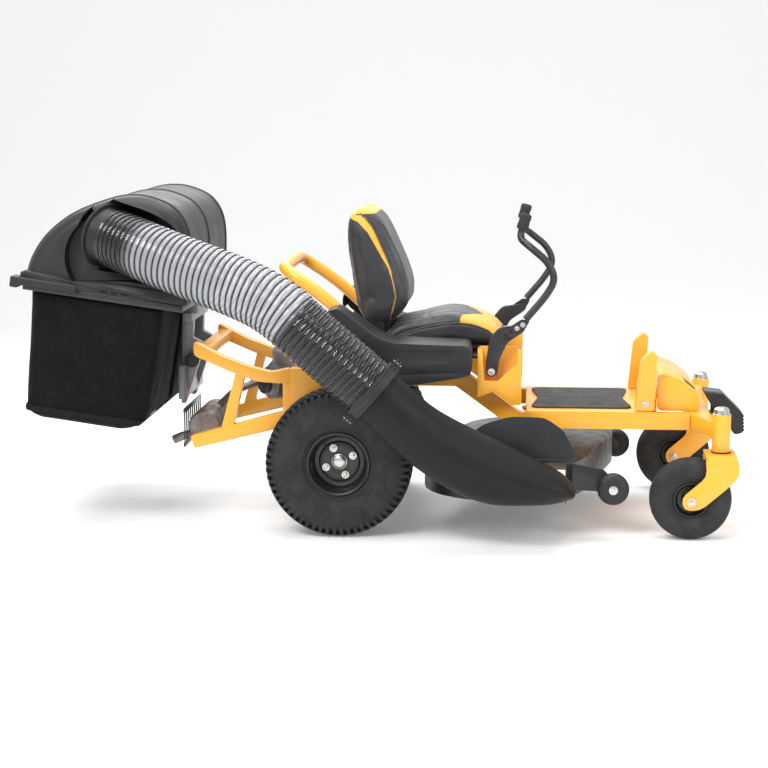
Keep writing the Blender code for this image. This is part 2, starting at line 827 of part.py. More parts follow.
def fenders():
    """Moulded covers over the rear wheels, hollow below, one each side of the seat."""
    outer = [
        (-0.010, 0.790),
        (0.123, 0.690),
        (0.180, 0.668),
        (0.448, 0.660),
        (0.456, 0.560),
        (0.400, 0.548),
        (0.250, 0.524),
        (0.205, 0.524),
        (0.120, 0.560),
        (0.020, 0.640),
        (-0.060, 0.700),
        (-0.060, 0.760),
    ]
    wall = MOULDING
    inner = [
        (-0.010 - wall, 0.790 - wall * 2.4),
        (0.122, 0.690 - wall * 1.3),
        (0.179, 0.668 - wall),
        (0.448 - wall, 0.660 - wall),
        (0.456 - wall, 0.500),
        (0.250, 0.500),
        (0.205, 0.500),
        (0.110, 0.540),
        (0.010, 0.610),
        (-0.060 + wall, 0.660),
        (-0.060 + wall, 0.750),
    ]
    for side, sign in SIDES:
        low, high = sorted((sign * FENDER_INNER, sign * FENDER_OUTER))
        solid = plate(outer, "Y", low, high, corner=0.020, edge=0.010)
        low, high = sorted((sign * (FENDER_INNER + wall), sign * (FENDER_OUTER - wall)))
        solid = cut(solid, plate(inner, "Y", low, high, corner=0.010))
        low, high = sorted((sign * (RAIL_OUTER + CLEAR), sign * (FENDER_INNER - 0.01)))
        solid = cut(
            solid,
            block((-0.3, 0.6), (low, high), (0.40, 0.612)),
            block((-0.3, 0.035), (low, high), (0.60, 0.85)),
        )
        node(f"fender_{side}", solid, "black_plastic")


def consoles():
    """Lever towers: an open-topped box each side with a slot that the lever moves in."""
    for side, sign in SIDES:
        low, high = sorted((sign * CONSOLE_Y[0], sign * CONSOLE_Y[1]))
        outline = [
            (CONSOLE_X[0], 0.470),
            (CONSOLE_X[0], CONSOLE_TOP),
            (CONSOLE_X[1], CONSOLE_TOP),
            (CONSOLE_X[1], 0.445),
            (0.590, 0.445),
            (0.530, 0.492),
        ]
        solid = plate(outline, "Y", low, high, corner=0.006)
        hollow = [
            (CONSOLE_X[0] + SHEET, 0.500),
            (CONSOLE_X[0] + SHEET, CONSOLE_TOP + 0.02),
            (CONSOLE_X[1] - SHEET, CONSOLE_TOP + 0.02),
            (CONSOLE_X[1] - SHEET, 0.500),
        ]
        solid = cut(solid, plate(hollow, "Y", low + SHEET, high - SHEET))
        outward = sign * (CONSOLE_Y[1] + 0.02), sign * (CONSOLE_Y[1] - 0.02)
        slot = [(0.486, 0.66), (0.496, 0.530), (0.545, 0.530), (0.575, 0.560), (0.610, 0.590), (0.610, 0.66)]
        solid = cut(solid, plate(slot, "Y", *sorted(outward)))
        node(f"console_{side}", solid, "yellow_paint")


def levers():
    """Each steering lever: a pivot bracket, a bolted plate and the bent bar with its grip."""
    for side, sign in SIDES:
        pivot = Vector((LEVER_PIVOT.x, sign * LEVER_Y, LEVER_PIVOT.z))
        blade = [
            (0.503, 0.545),
            (0.500, 0.590),
            (0.512, 0.672),
            (0.545, 0.712),
            (0.640, 0.726),
            (0.634, 0.700),
            (0.575, 0.660),
            (0.546, 0.600),
            (0.540, 0.545),
        ]
        y = pivot.y
        solid = join(
            plate(blade, "Y", y - 0.008, y + 0.008, corner=0.012),
            rod((pivot.x, y - 0.030, pivot.z), (pivot.x, y + 0.030, pivot.z), 0.017, 18),
        )
        node(f"lever_bracket_{side}", solid, "black_paint", pivot)
        outer = y + sign * 0.0085
        swing = Vector((0.600, outer, LAP_PIVOT_Z))
        end = outer + sign * 0.008
        low, high = sorted((outer, end))
        arm = [(0.552, LAP_PIVOT_Z + 0.001), (0.546, 0.690), (0.622, 0.742), (0.652, 0.738), (0.630, 0.700)]
        inner_y = y + sign * 0.0215
        reach = sign * GRIP_REACH
        path = [
            (0.600, inner_y, 0.710),
            (0.702, inner_y, 0.820),
            (0.738, inner_y, 0.880),
            (0.712, inner_y, 0.940),
            (0.640, inner_y - reach * 0.3, 0.998),
            (0.612, inner_y - reach, 1.018),
            (0.634, inner_y - reach, 1.096),
        ]
        bar = tube(bent_path(path, 0.026, 3), 0.0125, 2)
        bar = join(plate(arm, "Y", low, high, corner=0.008), bar)
        node(f"lap_bar_{side}", bar, "black_paint", swing)
        start = Vector(path[-2]).lerp(Vector(path[-1]), 0.38)
        tip = Vector(path[-1])
        on = (tip - start).normalized()
        grip = rod(start, tip + on * 0.006, 0.0205, 18)
        grip = rounded(grip, 0.005)
        grip = cut(grip, rod(start - on * 0.05, tip + on * GAP, 0.0130, 18))
        node(f"grip_{side}", grip, "soft_rubber", swing)


GRIP_REACH = 0.060
LAP_PIVOT_Z = 0.667
PEDAL_PIVOT = Vector((1.297, -0.150, 0.385))
PEDAL_HALF = 0.060


def lift_pedal():
    """The deck lift pedal: a ribbed foot pad on an arm at the front right."""
    y = PEDAL_PIVOT.y
    side = [
        (1.262, 0.474),
        (1.330, 0.466),
        (1.402, 0.395),
        (1.405, 0.330),
        (1.372, 0.322),
        (1.330, 0.388),
        (1.293, 0.420),
    ]
    solid = plate(side, "Y", y - PEDAL_HALF, y + PEDAL_HALF, corner=0.010, edge=0.004)
    shank = [(1.293, 0.430), (1.293, 0.380), (1.305, 0.380), (1.325, 0.420)]
    solid = join(
        solid,
        plate(shank, "Y", y - 0.014, y + 0.014),
        rod(PEDAL_PIVOT - Vector((0, 0.040, 0)), PEDAL_PIVOT + Vector((0, 0.040, 0)), 0.011, 14),
    )
    node("lift_pedal", solid, "black_paint", PEDAL_PIVOT)


# ---------------------------------------------------------------- deck

SPINDLE_SHAFT = 0.0127
ANTISCALP = {"right": 0.941, "left": 0.985}
ANTISCALP_Y = 0.462
ANTISCALP_Z = 0.172
ANTISCALP_RADIUS = 0.055
OPENING_X = (0.520, 0.780)
OPENING_Y = -0.560


def lobes(radius):
    """The outline round both blade circles, with straight sides between them."""
    right = Vector((BLADE_X["right"], -BLADE_Y))
    left = Vector((BLADE_X["left"], BLADE_Y))
    lean = math.atan2(left.y - right.y, left.x - right.x)
    half = math.pi
    return ring(right, radius, 14, lean + half / 2, half) + ring(left, radius, 14, lean - half / 2, half)


def deck():
    """A pressed shell, open below, with spindle housings, roller arms and the side discharge."""
    solid = plate(lobes(DECK_LOBE), "Z", DECK_BOTTOM, DECK_TOP, edge=0.010)
    mouth = (OPENING_Y, -0.330)
    solid = join(solid, block(OPENING_X, mouth, (DECK_BOTTOM + 0.002, DECK_TOP - 0.004), 0.003))
    hollow = plate(lobes(DECK_LOBE - SHEET), "Z", DECK_BOTTOM - 0.02, DECK_TOP - SHEET, edge=0.008)
    inner = block(
        (OPENING_X[0] + SHEET, OPENING_X[1] - SHEET),
        (OPENING_Y - 0.02, -0.300),
        (DECK_BOTTOM - 0.02, DECK_TOP - 0.004 - SHEET),
    )
    solid = cut(solid, join(hollow, inner))
    for side, sign in SIDES:
        x, y = BLADE_X[side], sign * BLADE_Y
        solid = join(solid, rod((x, y, DECK_TOP - 0.030), (x, y, DECK_TOP + 0.040), 0.048, 18, 0.030))
        solid = cut(solid, rod((x, y, 0.1), (x, y, 0.4), SPINDLE_SHAFT + 0.002, 18))
        x = ANTISCALP[side]
        inner_y = sign * (ANTISCALP_Y - 0.036)
        low, high = sorted((inner_y, inner_y - sign * 0.005))
        start = BLADE_X[side] + math.sqrt(DECK_LOBE**2 - inner_y**2 + 2 * abs(inner_y) * BLADE_Y - BLADE_Y**2)
        arm = [
            (start - 0.008, 0.160),
            (start - 0.008, 0.252),
            (x - 0.030, 0.232),
            (x + 0.018, 0.172),
            (x, 0.154),
        ]
        solid = join(
            solid,
            plate(arm, "Y", low, high, corner=0.008),
            rod(
                (x, inner_y - sign * 0.003, ANTISCALP_Z),
                (x, sign * (ANTISCALP_Y + 0.034), ANTISCALP_Z),
                0.008,
                12,
            ),
        )
        wheel = turned(
            [
                (0.0095, -0.028),
                (0.040, -0.028),
                (ANTISCALP_RADIUS, -0.020),
                (ANTISCALP_RADIUS, 0.020),
                (0.040, 0.028),
                (0.0095, 0.028),
            ],
            (x, sign * ANTISCALP_Y, ANTISCALP_Z),
            (0, sign, 0),
            24,
            closed=True,
        )
        node(f"antiscalp_wheel_{side}", wheel, "black_plastic", (x, sign * ANTISCALP_Y, ANTISCALP_Z))
    node("deck_shell", solid, "black_paint")


BLADE_Z = 0.150
PULLEY_Z = (0.316, 0.340)


def blades():
    """Each blade with its upturned wings, and the spindle and pulley above it."""
    for side, sign in SIDES:
        x, y = BLADE_X[side], sign * BLADE_Y
        pivot = Vector((x, y, BLADE_Z))
        shaft = rod((x, y, BLADE_Z + 0.0065), (x, y, PULLEY_Z[1] + 0.008), SPINDLE_SHAFT, 16)
        low, high = PULLEY_Z
        pulley = [
            (0, low),
            (0.058, low),
            (0.058, low + 0.004),
            (0.048, (low + high) / 2),
            (0.058, high - 0.004),
            (0.058, high),
            (0, high),
        ]
        shaft = join(
            shaft,
            turned(pulley, (x, y, 0), (0, 0, 1), 28),
            rod((x, y, BLADE_Z + 0.0065), (x, y, BLADE_Z + 0.030), 0.026, 16),
        )
        node(f"spindle_{side}", shaft, "grey_steel", pivot)
        half = BLADE_HALF
        flat = [(x - 0.028, y - half), (x + 0.028, y - half), (x + 0.028, y + half), (x - 0.028, y + half)]
        blade = plate(flat, "Z", BLADE_Z, BLADE_Z + 0.006, corner=0.008)
        for end in (-1, 1):
            wing = sorted((y + end * (half - 0.090), y + end * (half - 0.004)))
            edge = x - end * 0.028
            lift = block(
                sorted((edge, edge + end * 0.004)), wing, (BLADE_Z + 0.001, BLADE_Z + 0.024)
            )
            blade = join(blade, lift)
        bolt = rod((x, y, BLADE_Z + 0.002), (x, y, BLADE_Z - 0.012), 0.014, 6)
        node(f"blade_{side}", join(blade, bolt), "grey_steel", pivot)


DEFLECTOR_AT = Vector((0.622, OPENING_Y - 0.0075, 0.288))


def deflector():
    """The discharge guard, swung up out of the way of the bagger's chute."""
    outline = [
        (0.437, 0.292),
        (0.437, 0.363),
        (0.500, 0.410),
        (0.588, 0.436),
        (0.705, 0.434),
        (0.770, 0.390),
        (0.807, 0.310),
        (0.807, 0.292),
    ]
    y = DEFLECTOR_AT.y
    solid = plate(outline, "Y", y - 0.002, y + 0.002, corner=0.020)
    solid = join(solid, rod((0.450, y, DEFLECTOR_AT.z), (0.795, y, DEFLECTOR_AT.z), 0.0065, 12))
    node("chute_deflector", solid, "black_plastic", DEFLECTOR_AT)


# ---------------------------------------------------------------- bagger

HOSE_ROUTE = [
    (-0.773, -0.440, 1.018),
    (-0.568, -0.560, 0.954),
    (-0.237, -0.665, 0.838),
    (-0.057, -0.700, 0.703),
    (0.150, -0.700, 0.524),
]
CHUTE_INSIDE = 0.40  # of the chute's pipe inside the hose
HOSE_SIDES = 16
TILT = Matrix.Translation(BAGGER_AT) @ Matrix.Rotation(BAGGER_TILT, 4, "Y")


def tilted(obj):
    """From the bagger's own frame, whose X runs along the hood's rim, to the machine's."""
    obj.data.transform(TILT)
    return obj


def frames(path):
    """A direction and two normals at each point; the first normal stays across the machine."""
    made = []
    for i, place in enumerate(path):
        on = (path[min(i + 1, len(path) - 1)] - path[max(i - 1, 0)]).normalized()
        across = (Vector((0, 1, 0)) - on * on.y).normalized()
        made.append((place, across, on.cross(across)))
    return made


def round_skin(path, radius, sides=HOSE_SIDES):
    turns = [math.tau * i / sides for i in range(sides)]
    rings = [
        [place + radius * (math.cos(turn) * across + math.sin(turn) * up) for turn in turns]
        for place, across, up in frames(path)
    ]
    return loft(rings)


def stretched(path, back, on):
    """The path made longer at both ends, for a cutter that runs out of the wall."""
    first = path[0] - (path[1] - path[0]).normalized() * back
    last = path[-1] + (path[-1] - path[-2]).normalized() * on
    return [first, *path, last]


def tail_of(path, length):
    """The last stretch of a path, of this length."""
    made = [path[-1]]
    left = length
    for place in path[-2::-1]:
        step = (made[-1] - place).length
        if step >= left:
            made.append(made[-1].lerp(place, left / step))
            break
        made.append(place)
        left -= step
    return made[::-1]


def hose():
    path = smooth_path(HOSE_ROUTE, 4)
    skin = round_skin(path, HOSE_RADIUS)
    bore = round_skin(stretched(path, 0.02, 0.02), HOSE_RADIUS - HOSE_WALL)
    node("bagger_hose", cut(skin, bore), "clear_hose")


def hose_clamp():
    """The split collar round the hose's lower end, with its two ears."""
    path = tail_of(smooth_path(HOSE_ROUTE, 4), 0.040)
    path = [path[0], path[-1]]
    place, across, up = frames(path)[0]
    on = (path[1] - path[0]).normalized()
    outer = round_skin(path, HOSE_RADIUS + 0.0075)
    for hand in (-1, 1):
        foot = place + on * 0.020 + up * hand * (HOSE_RADIUS + 0.003)
        outer = join(outer, rod(foot - across * 0.016, foot - across * 0.016 + up * hand * 0.032, 0.009, 10))
    bore = round_skin(stretched(path, 0.02, 0.02), HOSE_RADIUS + 0.0006)
    node("hose_clamp", cut(outer, bore), "black_plastic")


# Below the hose: place on the centre line, half height, half width
CHUTE_STATIONS = [
    ((0.275, -0.692, 0.408), 0.098, 0.096),
    ((0.425, -0.682, 0.312), 0.108, 0.100),
    ((0.540, -0.672, 0.262), 0.106, 0.100),
    ((0.660, -0.668, 0.232), 0.080, 0.098),
    ((0.750, -0.666, 0.212), 0.052, 0.090),
    ((0.800, -0.664, 0.198), 0.024, 0.070),
]


def chute_skin(shrink, back, tip):
    """The chute's round pipe, widening to its flat scoop. shrink is how far inside the outer face it lies."""
    pipe = tail_of(smooth_path(HOSE_ROUTE, 4), CHUTE_INSIDE)
    first = pipe[0] - (pipe[1] - pipe[0]).normalized() * back
    path = [first, *pipe[1:]] if back else pipe
    sizes = [(CHUTE_RADIUS, CHUTE_RADIUS)] * len(path)
    stations = CHUTE_STATIONS[:-1] if tip else CHUTE_STATIONS
    path = path + [Vector(place) for place, _, _ in stations]
    sizes += [(height, width) for _, height, width in stations]
    rings = []
    for (place, across, up), (height, width) in zip(frames(path), sizes):
        rings.append(
            [
                place
                + (width - shrink) * math.cos(math.tau * i / HOSE_SIDES) * across
                + (height - shrink) * math.sin(math.tau * i / HOSE_SIDES) * up
                for i in range(HOSE_SIDES)
            ]
        )
    return loft(rings)


def chute():
    """The moulded scoop that carries cuttings from the deck's side to the hose."""
    solid = chute_skin(0, 0, False)
    solid = cut(solid, chute_skin(MOULDING, 0.02, True))
    mouth = block((OPENING_X[0] + 0.01, OPENING_X[1] - 0.03), (-0.66, -0.50), (0.196, 0.240))
    flush = block((0.30, 0.90), (OPENING_Y - 0.0125, -0.40), (0.10, 0.45))
    node("bagger_chute", cut(solid, mouth, flush), "black_plastic")


ARCH = [
    (-0.513, 0.0),
    (-0.497, 0.085),
    (-0.452, 0.172),
    (-0.367, 0.256),
    (-0.247, 0.322),
    (-0.174, 0.344),
    (-0.104, 0.344),
    (-0.025, 0.318),
    (0.028, 0.252),
    (0.052, 0.140),
    (0.056, 0.0),
]
ARCH_MIDDLE = -0.230
END_SCALES = [  # share of the half width, and the arch's scale there
    (-1, 0.86),
    (-0.985, 0.93),
    (-0.94, 0.985),
    (-0.86, 1),
    (0, 0.985),
    (0.86, 1),
    (0.94, 0.985),
    (0.985, 0.93),
    (1, 0.86),
]


def dome(half, inset, base):
    """The hood's skin: the arch carried across the machine, drawn in at its ends."""
    sections = []
    for share, scale in END_SCALES:
        section = []
        for x, z in ARCH:
            out = Vector((x - ARCH_MIDDLE, z))
            out = out.normalized() * (out.length * scale - inset)
            section.append((ARCH_MIDDLE + out.x, share * half, out.y if z else base))
        sections.append(section)
    return loft(sections)


def hood():
    """The moulded hood with the recess its hose comes out of, and the collar that the hose slides over."""
    wall = MOULDING
    start = Vector(HOSE_ROUTE[0])
    on = (smooth_path(HOSE_ROUTE, 4)[1] - start).normalized()
    seat = start - on * 0.050
    skin = tilted(dome(HOOD_HALF_WIDTH, 0, 0))
    hollow = tilted(dome(HOOD_HALF_WIDTH - wall, wall, -0.03))
    recess = rod(seat, seat + on * 0.60, RECESS_RADIUS, 28)
    keep = rod(seat - on * wall, seat + on * 0.60, RECESS_RADIUS + wall, 28)
    skin = cut(cut(skin, recess), cut(hollow, keep))
    skin = cut(skin, rod(seat - on * 0.05, seat + on * 0.02, COLLAR_RADIUS - 0.002, 24))
    collar = turned(
        [
            (COLLAR_RADIUS - wall, -0.020),
            (COLLAR_RADIUS, -0.020),
            (COLLAR_RADIUS, 0.140),
            (COLLAR_RADIUS - wall, 0.140),
        ],
        seat,
        on,
        24,
        closed=True,
    )
    node("hood", join(skin, collar), "black_plastic")


RECESS_RADIUS = 0.128
COLLAR_RADIUS = 0.0960
FRAME_TOP = -0.002
FRAME_BOTTOM = -0.026
BAG_TOP = -0.030
BAG_HALF = 0.452


def bag_frame():
    """The carrier: a square-tube ring under the hood's rim with a middle bar and the bags' runners."""
    bar = 0.020
    reach = HOOD_HALF_WIDTH + 0.006
    solid = None
    for x, y in (
        ((-0.505, -0.505 + bar), (-reach, reach)),
        ((0.034, 0.034 + bar), (-reach, reach)),
        ((-0.505, 0.054), (-reach, -reach + bar)),
        ((-0.505, 0.054), (reach - bar, reach)),
        ((-0.505, 0.054), (-bar / 2, bar / 2)),
    ):
        piece = block(x, y, (FRAME_BOTTOM, FRAME_TOP))
        solid = piece if solid is None else join(solid, piece)
    node("bag_frame", tilted(solid), "black_paint")


def bags():
    """Two sewn bags, open at the top, side by side under the hood."""
    outline = [
        (-0.480, BAG_TOP),
        (-0.018, BAG_TOP),
        (-0.018, -0.385),
        (-0.062, -BAG_DEPTH - 0.022),
        (-0.428, -BAG_DEPTH - 0.032),
        (-0.446, -BAG_DEPTH),
    ]
    wall = 0.003
    hollow = [
        (-0.480 + wall, BAG_TOP + 0.03),
        (-0.018 - wall, BAG_TOP + 0.03),
        (-0.018 - wall, -0.384),
        (-0.064, -BAG_DEPTH - 0.018),
        (-0.426, -BAG_DEPTH - 0.028),
        (-0.443, -BAG_DEPTH),
    ]
    for side, sign in SIDES:
        low, high = sorted((sign * 0.012, sign * BAG_HALF))
        solid = plate(outline, "Y", low, high, edge=0.010)
        solid = cut(solid, plate(hollow, "Y", low + wall, high - wall, edge=0.008))
        node(f"bag_{side}", tilted(solid), "bag_fabric")


LATCH_PIVOT = Vector((-0.330, -0.489, 0.004))


def latch():
    """The side lever that locks the carrier, with its grip behind the hood."""
    y = LATCH_PIVOT.y
    solid = join(
        block((-0.540, -0.312), (y - 0.012, y), (-0.010, 0.018), 0.003),
        block((-0.545, -0.517), (y - 0.012, y + 0.055), (-0.020, 0.018), 0.003),
    )
    pivot = TILT @ LATCH_PIVOT
    node("hood_latch", tilted(solid), "black_plastic", pivot)


def mast():
    """The steel upright between the rear crossbar and the bag carrier."""
    solid = None
    for _, sign in SIDES:
        low, high = sorted((sign * 0.090, sign * 0.130))
        post = [
            (-0.526, 0.600),
            (-0.526, 0.620),
            (-0.562, 0.640),
            (-0.556, 0.752),
            (-0.596, 0.752),
            (-0.606, 0.400),
            (-0.592, 0.400),
        ]
        piece = plate(post, "Y", low, high, corner=0.004)
        solid = piece if solid is None else join(solid, piece)
    solid = join(
        solid,
        block((-0.604, -0.580), (-0.200, 0.200), (0.425, 0.545), 0.003),
        block((-0.590, -0.556), (-0.180, 0.180), (0.700, 0.735), 0.003),
    )
    head = block((-0.600, -0.540), (-0.150, 0.150), (0.730, 0.766), 0.002)
    node("bagger_mast", join(solid, head), "grey_steel")


def settle_origin():
    """Moves everything so that the origin is on the ground under the middle of the whole machine."""
    bpy.context.view_layer.update()
    corners = [obj.matrix_world @ Vector(corner) for obj in PARTS.objects for corner in obj.bound_box]
    low = Vector(map(min, zip(*corners)))
    high = Vector(map(max, zip(*corners)))
    shift = Vector(((low.x + high.x) / 2, (low.y + high.y) / 2, low.z))
    for obj in PARTS.objects:
        obj.location -= shift


rear_wheels()
caster_wheels()
frame_rails()
front_beam()
engine_plate()
engine()
drive_units()
exhaust()
rear_guards()
seat_hoop()
floor()
front_cowl()
seat()
seat_mount()
fenders()
consoles()
levers()
lift_pedal()
deck()
blades()
deflector()
hose()
hose_clamp()
chute()
hood()
bag_frame()
bags()
latch()
mast()
settle_origin()
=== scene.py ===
# Zero turn mower with a twin bag grass catcher: its looks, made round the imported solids.
import math

import bmesh
import bpy
from mathutils import Matrix, Vector, noise
from mathutils.bvhtree import BVHTree


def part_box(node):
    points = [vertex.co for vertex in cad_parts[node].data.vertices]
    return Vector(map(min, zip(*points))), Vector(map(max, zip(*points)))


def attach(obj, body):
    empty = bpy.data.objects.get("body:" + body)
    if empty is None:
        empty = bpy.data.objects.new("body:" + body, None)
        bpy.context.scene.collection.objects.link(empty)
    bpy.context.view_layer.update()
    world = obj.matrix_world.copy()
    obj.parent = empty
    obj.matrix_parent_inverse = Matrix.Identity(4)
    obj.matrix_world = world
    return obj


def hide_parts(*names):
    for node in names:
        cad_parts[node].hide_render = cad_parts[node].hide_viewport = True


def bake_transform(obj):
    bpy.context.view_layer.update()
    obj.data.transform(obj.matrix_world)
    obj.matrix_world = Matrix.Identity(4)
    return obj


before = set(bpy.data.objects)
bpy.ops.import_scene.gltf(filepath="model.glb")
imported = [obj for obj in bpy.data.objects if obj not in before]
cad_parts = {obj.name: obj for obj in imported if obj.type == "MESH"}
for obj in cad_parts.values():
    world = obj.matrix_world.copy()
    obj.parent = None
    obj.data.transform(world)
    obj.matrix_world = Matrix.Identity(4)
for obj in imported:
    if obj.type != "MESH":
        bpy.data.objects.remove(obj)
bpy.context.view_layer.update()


# ---- Studio --------------------------------------------------------------------------------------
# The machine stands on a pale floor in soft light. Places are given from the point on the ground under
# the middle of the rear axle, which the frame's rear tyres mark.
def middle(node):
    low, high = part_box(node)
    return (low + high) / 2


AXLE = (middle("rear_tyre_right") + middle("rear_tyre_left")) / 2
GROUND = Vector((AXLE.x, AXLE.y, 0.0))
ON_GROUND = Matrix.Translation(GROUND)


def at(x, y, z):
    return GROUND + Vector((x, y, z))


def aimed(obj, direction):
    obj.rotation_euler = Vector(direction).to_track_quat("-Z", "Y").to_euler()
    return obj


CAMERA_YAW = math.radians(4.24)
CAMERA_PITCH = math.radians(8.31)
camera = bpy.data.objects.new("camera", bpy.data.cameras.new("camera"))
bpy.context.collection.objects.link(camera)
camera.location = at(0.656, -7.222, 1.517)
aimed(
    camera,
    (
        -math.sin(CAMERA_YAW) * math.cos(CAMERA_PITCH),
        math.cos(CAMERA_YAW) * math.cos(CAMERA_PITCH),
        -math.sin(CAMERA_PITCH),
    ),
)
camera.data.sensor_width = 36.0
camera.data.lens = 93.75
camera.data.clip_end = 60.0
bpy.context.scene.camera = camera


def lamp(name, place, size, power, target=(0.1, 0, 0.5)):
    light = bpy.data.lights.new(name, "AREA")
    light.shape = "RECTANGLE"
    light.size, light.size_y = size
    light.energy = power
    obj = bpy.data.objects.new(name, light)
    bpy.context.collection.objects.link(obj)
    obj.location = at(*place)
    aimed(obj, at(*target) - obj.location)


lamp("key_softbox", (-1.6, -3.6, 3.6), (2.6, 1.6), 165)
lamp("front_softbox", (3.4, -2.6, 2.4), (1.8, 1.8), 60)
lamp("top_softbox", (0.0, 0.2, 4.2), (4.2, 2.6), 150)
lamp("back_softbox", (-1.0, 3.4, 3.2), (3.4, 1.2), 70)
world = bpy.data.worlds.new("studio")
world.use_nodes = True
world.node_tree.nodes["Background"].inputs["Color"].default_value = (0.93, 0.94, 0.95, 1)
world.node_tree.nodes["Background"].inputs["Strength"].default_value = 0.72
bpy.context.scene.world = world
bpy.context.scene.view_settings.view_transform = "Standard"


class Socket:
    """A node's output that takes part in ordinary arithmetic."""

    def __init__(self, maker, link):
        self.maker, self.link = maker, link

    def _maths(self, operation, *values):
        return self.maker.add("ShaderNodeMath", {"operation": operation}, *values)

    def __add__(self, other):
        return self._maths("ADD", self, other)

    def __mul__(self, other):
        return self._maths("MULTIPLY", self, other)

    __radd__, __rmul__ = __add__, __mul__


class Finish:
    """One material: a Principled shader and the nodes that feed it."""

    def __init__(self, name, colour, roughness, **sockets):
        self.material = bpy.data.materials.new(name)
        self.material.use_nodes = True
        self.nodes = self.material.node_tree.nodes
        self.links = self.material.node_tree.links
        self.shader = self.nodes["Principled BSDF"]
        self.colour = colour
        self.set("Base Color", (*colour, 1))
        self.set("Roughness", roughness)
        for socket, value in sockets.items():
            self.set(socket.replace("_", " "), value)

    def set(self, socket, value):
        if isinstance(value, Socket):
            self.links.new(value.link, self.shader.inputs[socket])
        else:
            self.shader.inputs[socket].default_value = value

    def add(self, kind, settings, *values, output=0, **named):
        made = self.nodes.new(kind)
        for key, value in settings.items():
            setattr(made, key, value)
        for place, value in [*enumerate(values), *named.items()]:
            key = place if isinstance(place, int) else place.replace("_", " ")
            if isinstance(value, Socket):
                self.links.new(value.link, made.inputs[key])
            else:
                made.inputs[key].default_value = value
        return Socket(self, made.outputs[output])

    def place(self, output="Object"):
        return self.add("ShaderNodeTexCoord", {}, output=output)

    def noise(self, scale, detail=3.0, roughness=0.5, where=None):
        return self.add(
            "ShaderNodeTexNoise",
            {},
            Vector=where or self.place(),
            Scale=scale,
            Detail=detail,
            Roughness=roughness,
        )

    def stepped(self, value, low, high, to_low=0.0, to_high=1.0):
        return self.add("ShaderNodeMapRange", {}, value, low, high, to_low, to_high)

    def mix(self, factor, first, second):
        made = self.nodes.new("ShaderNodeMix")
        made.data_type = "RGBA"
        for key, value in ((0, factor), (6, first), (7, second)):
            if isinstance(value, Socket):
                self.links.new(value.link, made.inputs[key])
            else:
                made.inputs[key].default_value = (*value, 1) if key else value
        return Socket(self, made.outputs[2])

    def bump(self, height, distance, strength=1.0, under=None):
        made = self.nodes.new("ShaderNodeBump")
        made.inputs["Distance"].default_value = distance
        made.inputs["Strength"].default_value = strength
        self.links.new(height.link, made.inputs["Height"])
        if under:
            self.links.new(under.link, made.inputs["Normal"])
        return Socket(self, made.outputs[0])


def dress(finish, *nodes):
    """Gives the frame's own solids a finish."""
    for name in nodes:
        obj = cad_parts[name]
        obj.data.materials.clear()
        obj.data.materials.append(finish.material)


SIDES = (("right", -1), ("left", 1))


def both(*names):
    return [f"{name}_{side}" for name in names for side, _ in SIDES]


def fixed(obj, slot, body, *solids):
    """Gives a piece the body it rides, and hides the solids that it stands for. The slot argument is not
    used.
    """
    if solids:
        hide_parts(*solids)
    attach(obj, body)


# ---- Floor ---------------------------------------------------------------------------------------
# A seamless pale studio sweep: painted matt, it runs back under the machine and curves up behind it.
floor_finish = Finish("studio_floor", (0.86, 0.865, 0.87), 0.65, Emission_Strength=0.14)
floor_finish.set("Emission Color", (1, 1, 1, 1))
floor_finish.set("Roughness", floor_finish.stepped(floor_finish.noise(3.0), 0.3, 0.7, 0.6, 0.7))
SWEEP_BACK, SWEEP_RADIUS, SWEEP_TOP = 5.0, 4.0, 14.0
section = [Vector((0, -25.0, 0)), Vector((0, -3.0, 0)), Vector((0, SWEEP_BACK, 0))]
for step in range(1, 25):
    turn = math.pi / 2 * step / 24
    section.append(
        Vector((0, SWEEP_BACK + SWEEP_RADIUS * math.sin(turn), SWEEP_RADIUS * (1 - math.cos(turn))))
    )
section.append(Vector((0, SWEEP_BACK + SWEEP_RADIUS, SWEEP_TOP)))
sweep_points = [(x, p.y, p.z - 0.0008) for x in (-25.0, 25.0) for p in section]
count = len(section)
sweep_faces = [(i, count + i, count + i + 1, i + 1) for i in range(count - 1)]
sweep = bpy.data.meshes.new("studio_floor")
sweep.from_pydata(sweep_points, [], sweep_faces)
sweep.shade_smooth()
studio_floor = bpy.data.objects.new("studio_floor", sweep)
bpy.context.collection.objects.link(studio_floor)
sweep.materials.append(floor_finish.material)

# ---- Painted frame -------------------------------------------------------------------------------
# Welded steel tube and plate, powder coated orange-yellow. The coat has a fine orange-peel skin, and is a
# little duller where dust and hands have been at it.
YELLOW = (0.90, 0.40, 0.028)
yellow = Finish("yellow_powder_coat", YELLOW, 0.36, Coat_Weight=0.35, Coat_Roughness=0.12)
dust = yellow.stepped(yellow.noise(5.0, 6.0, 0.6), 0.48, 0.74)
yellow.set("Base Color", yellow.mix(dust * 0.22, YELLOW, (0.72, 0.36, 0.06)))
yellow.set("Roughness", yellow.stepped(yellow.noise(38.0, 4.0), 0.25, 0.75, 0.28, 0.46) + dust * 0.12)
yellow.set("Normal", yellow.bump(yellow.noise(420.0, 1.0), 0.00025, 0.35))

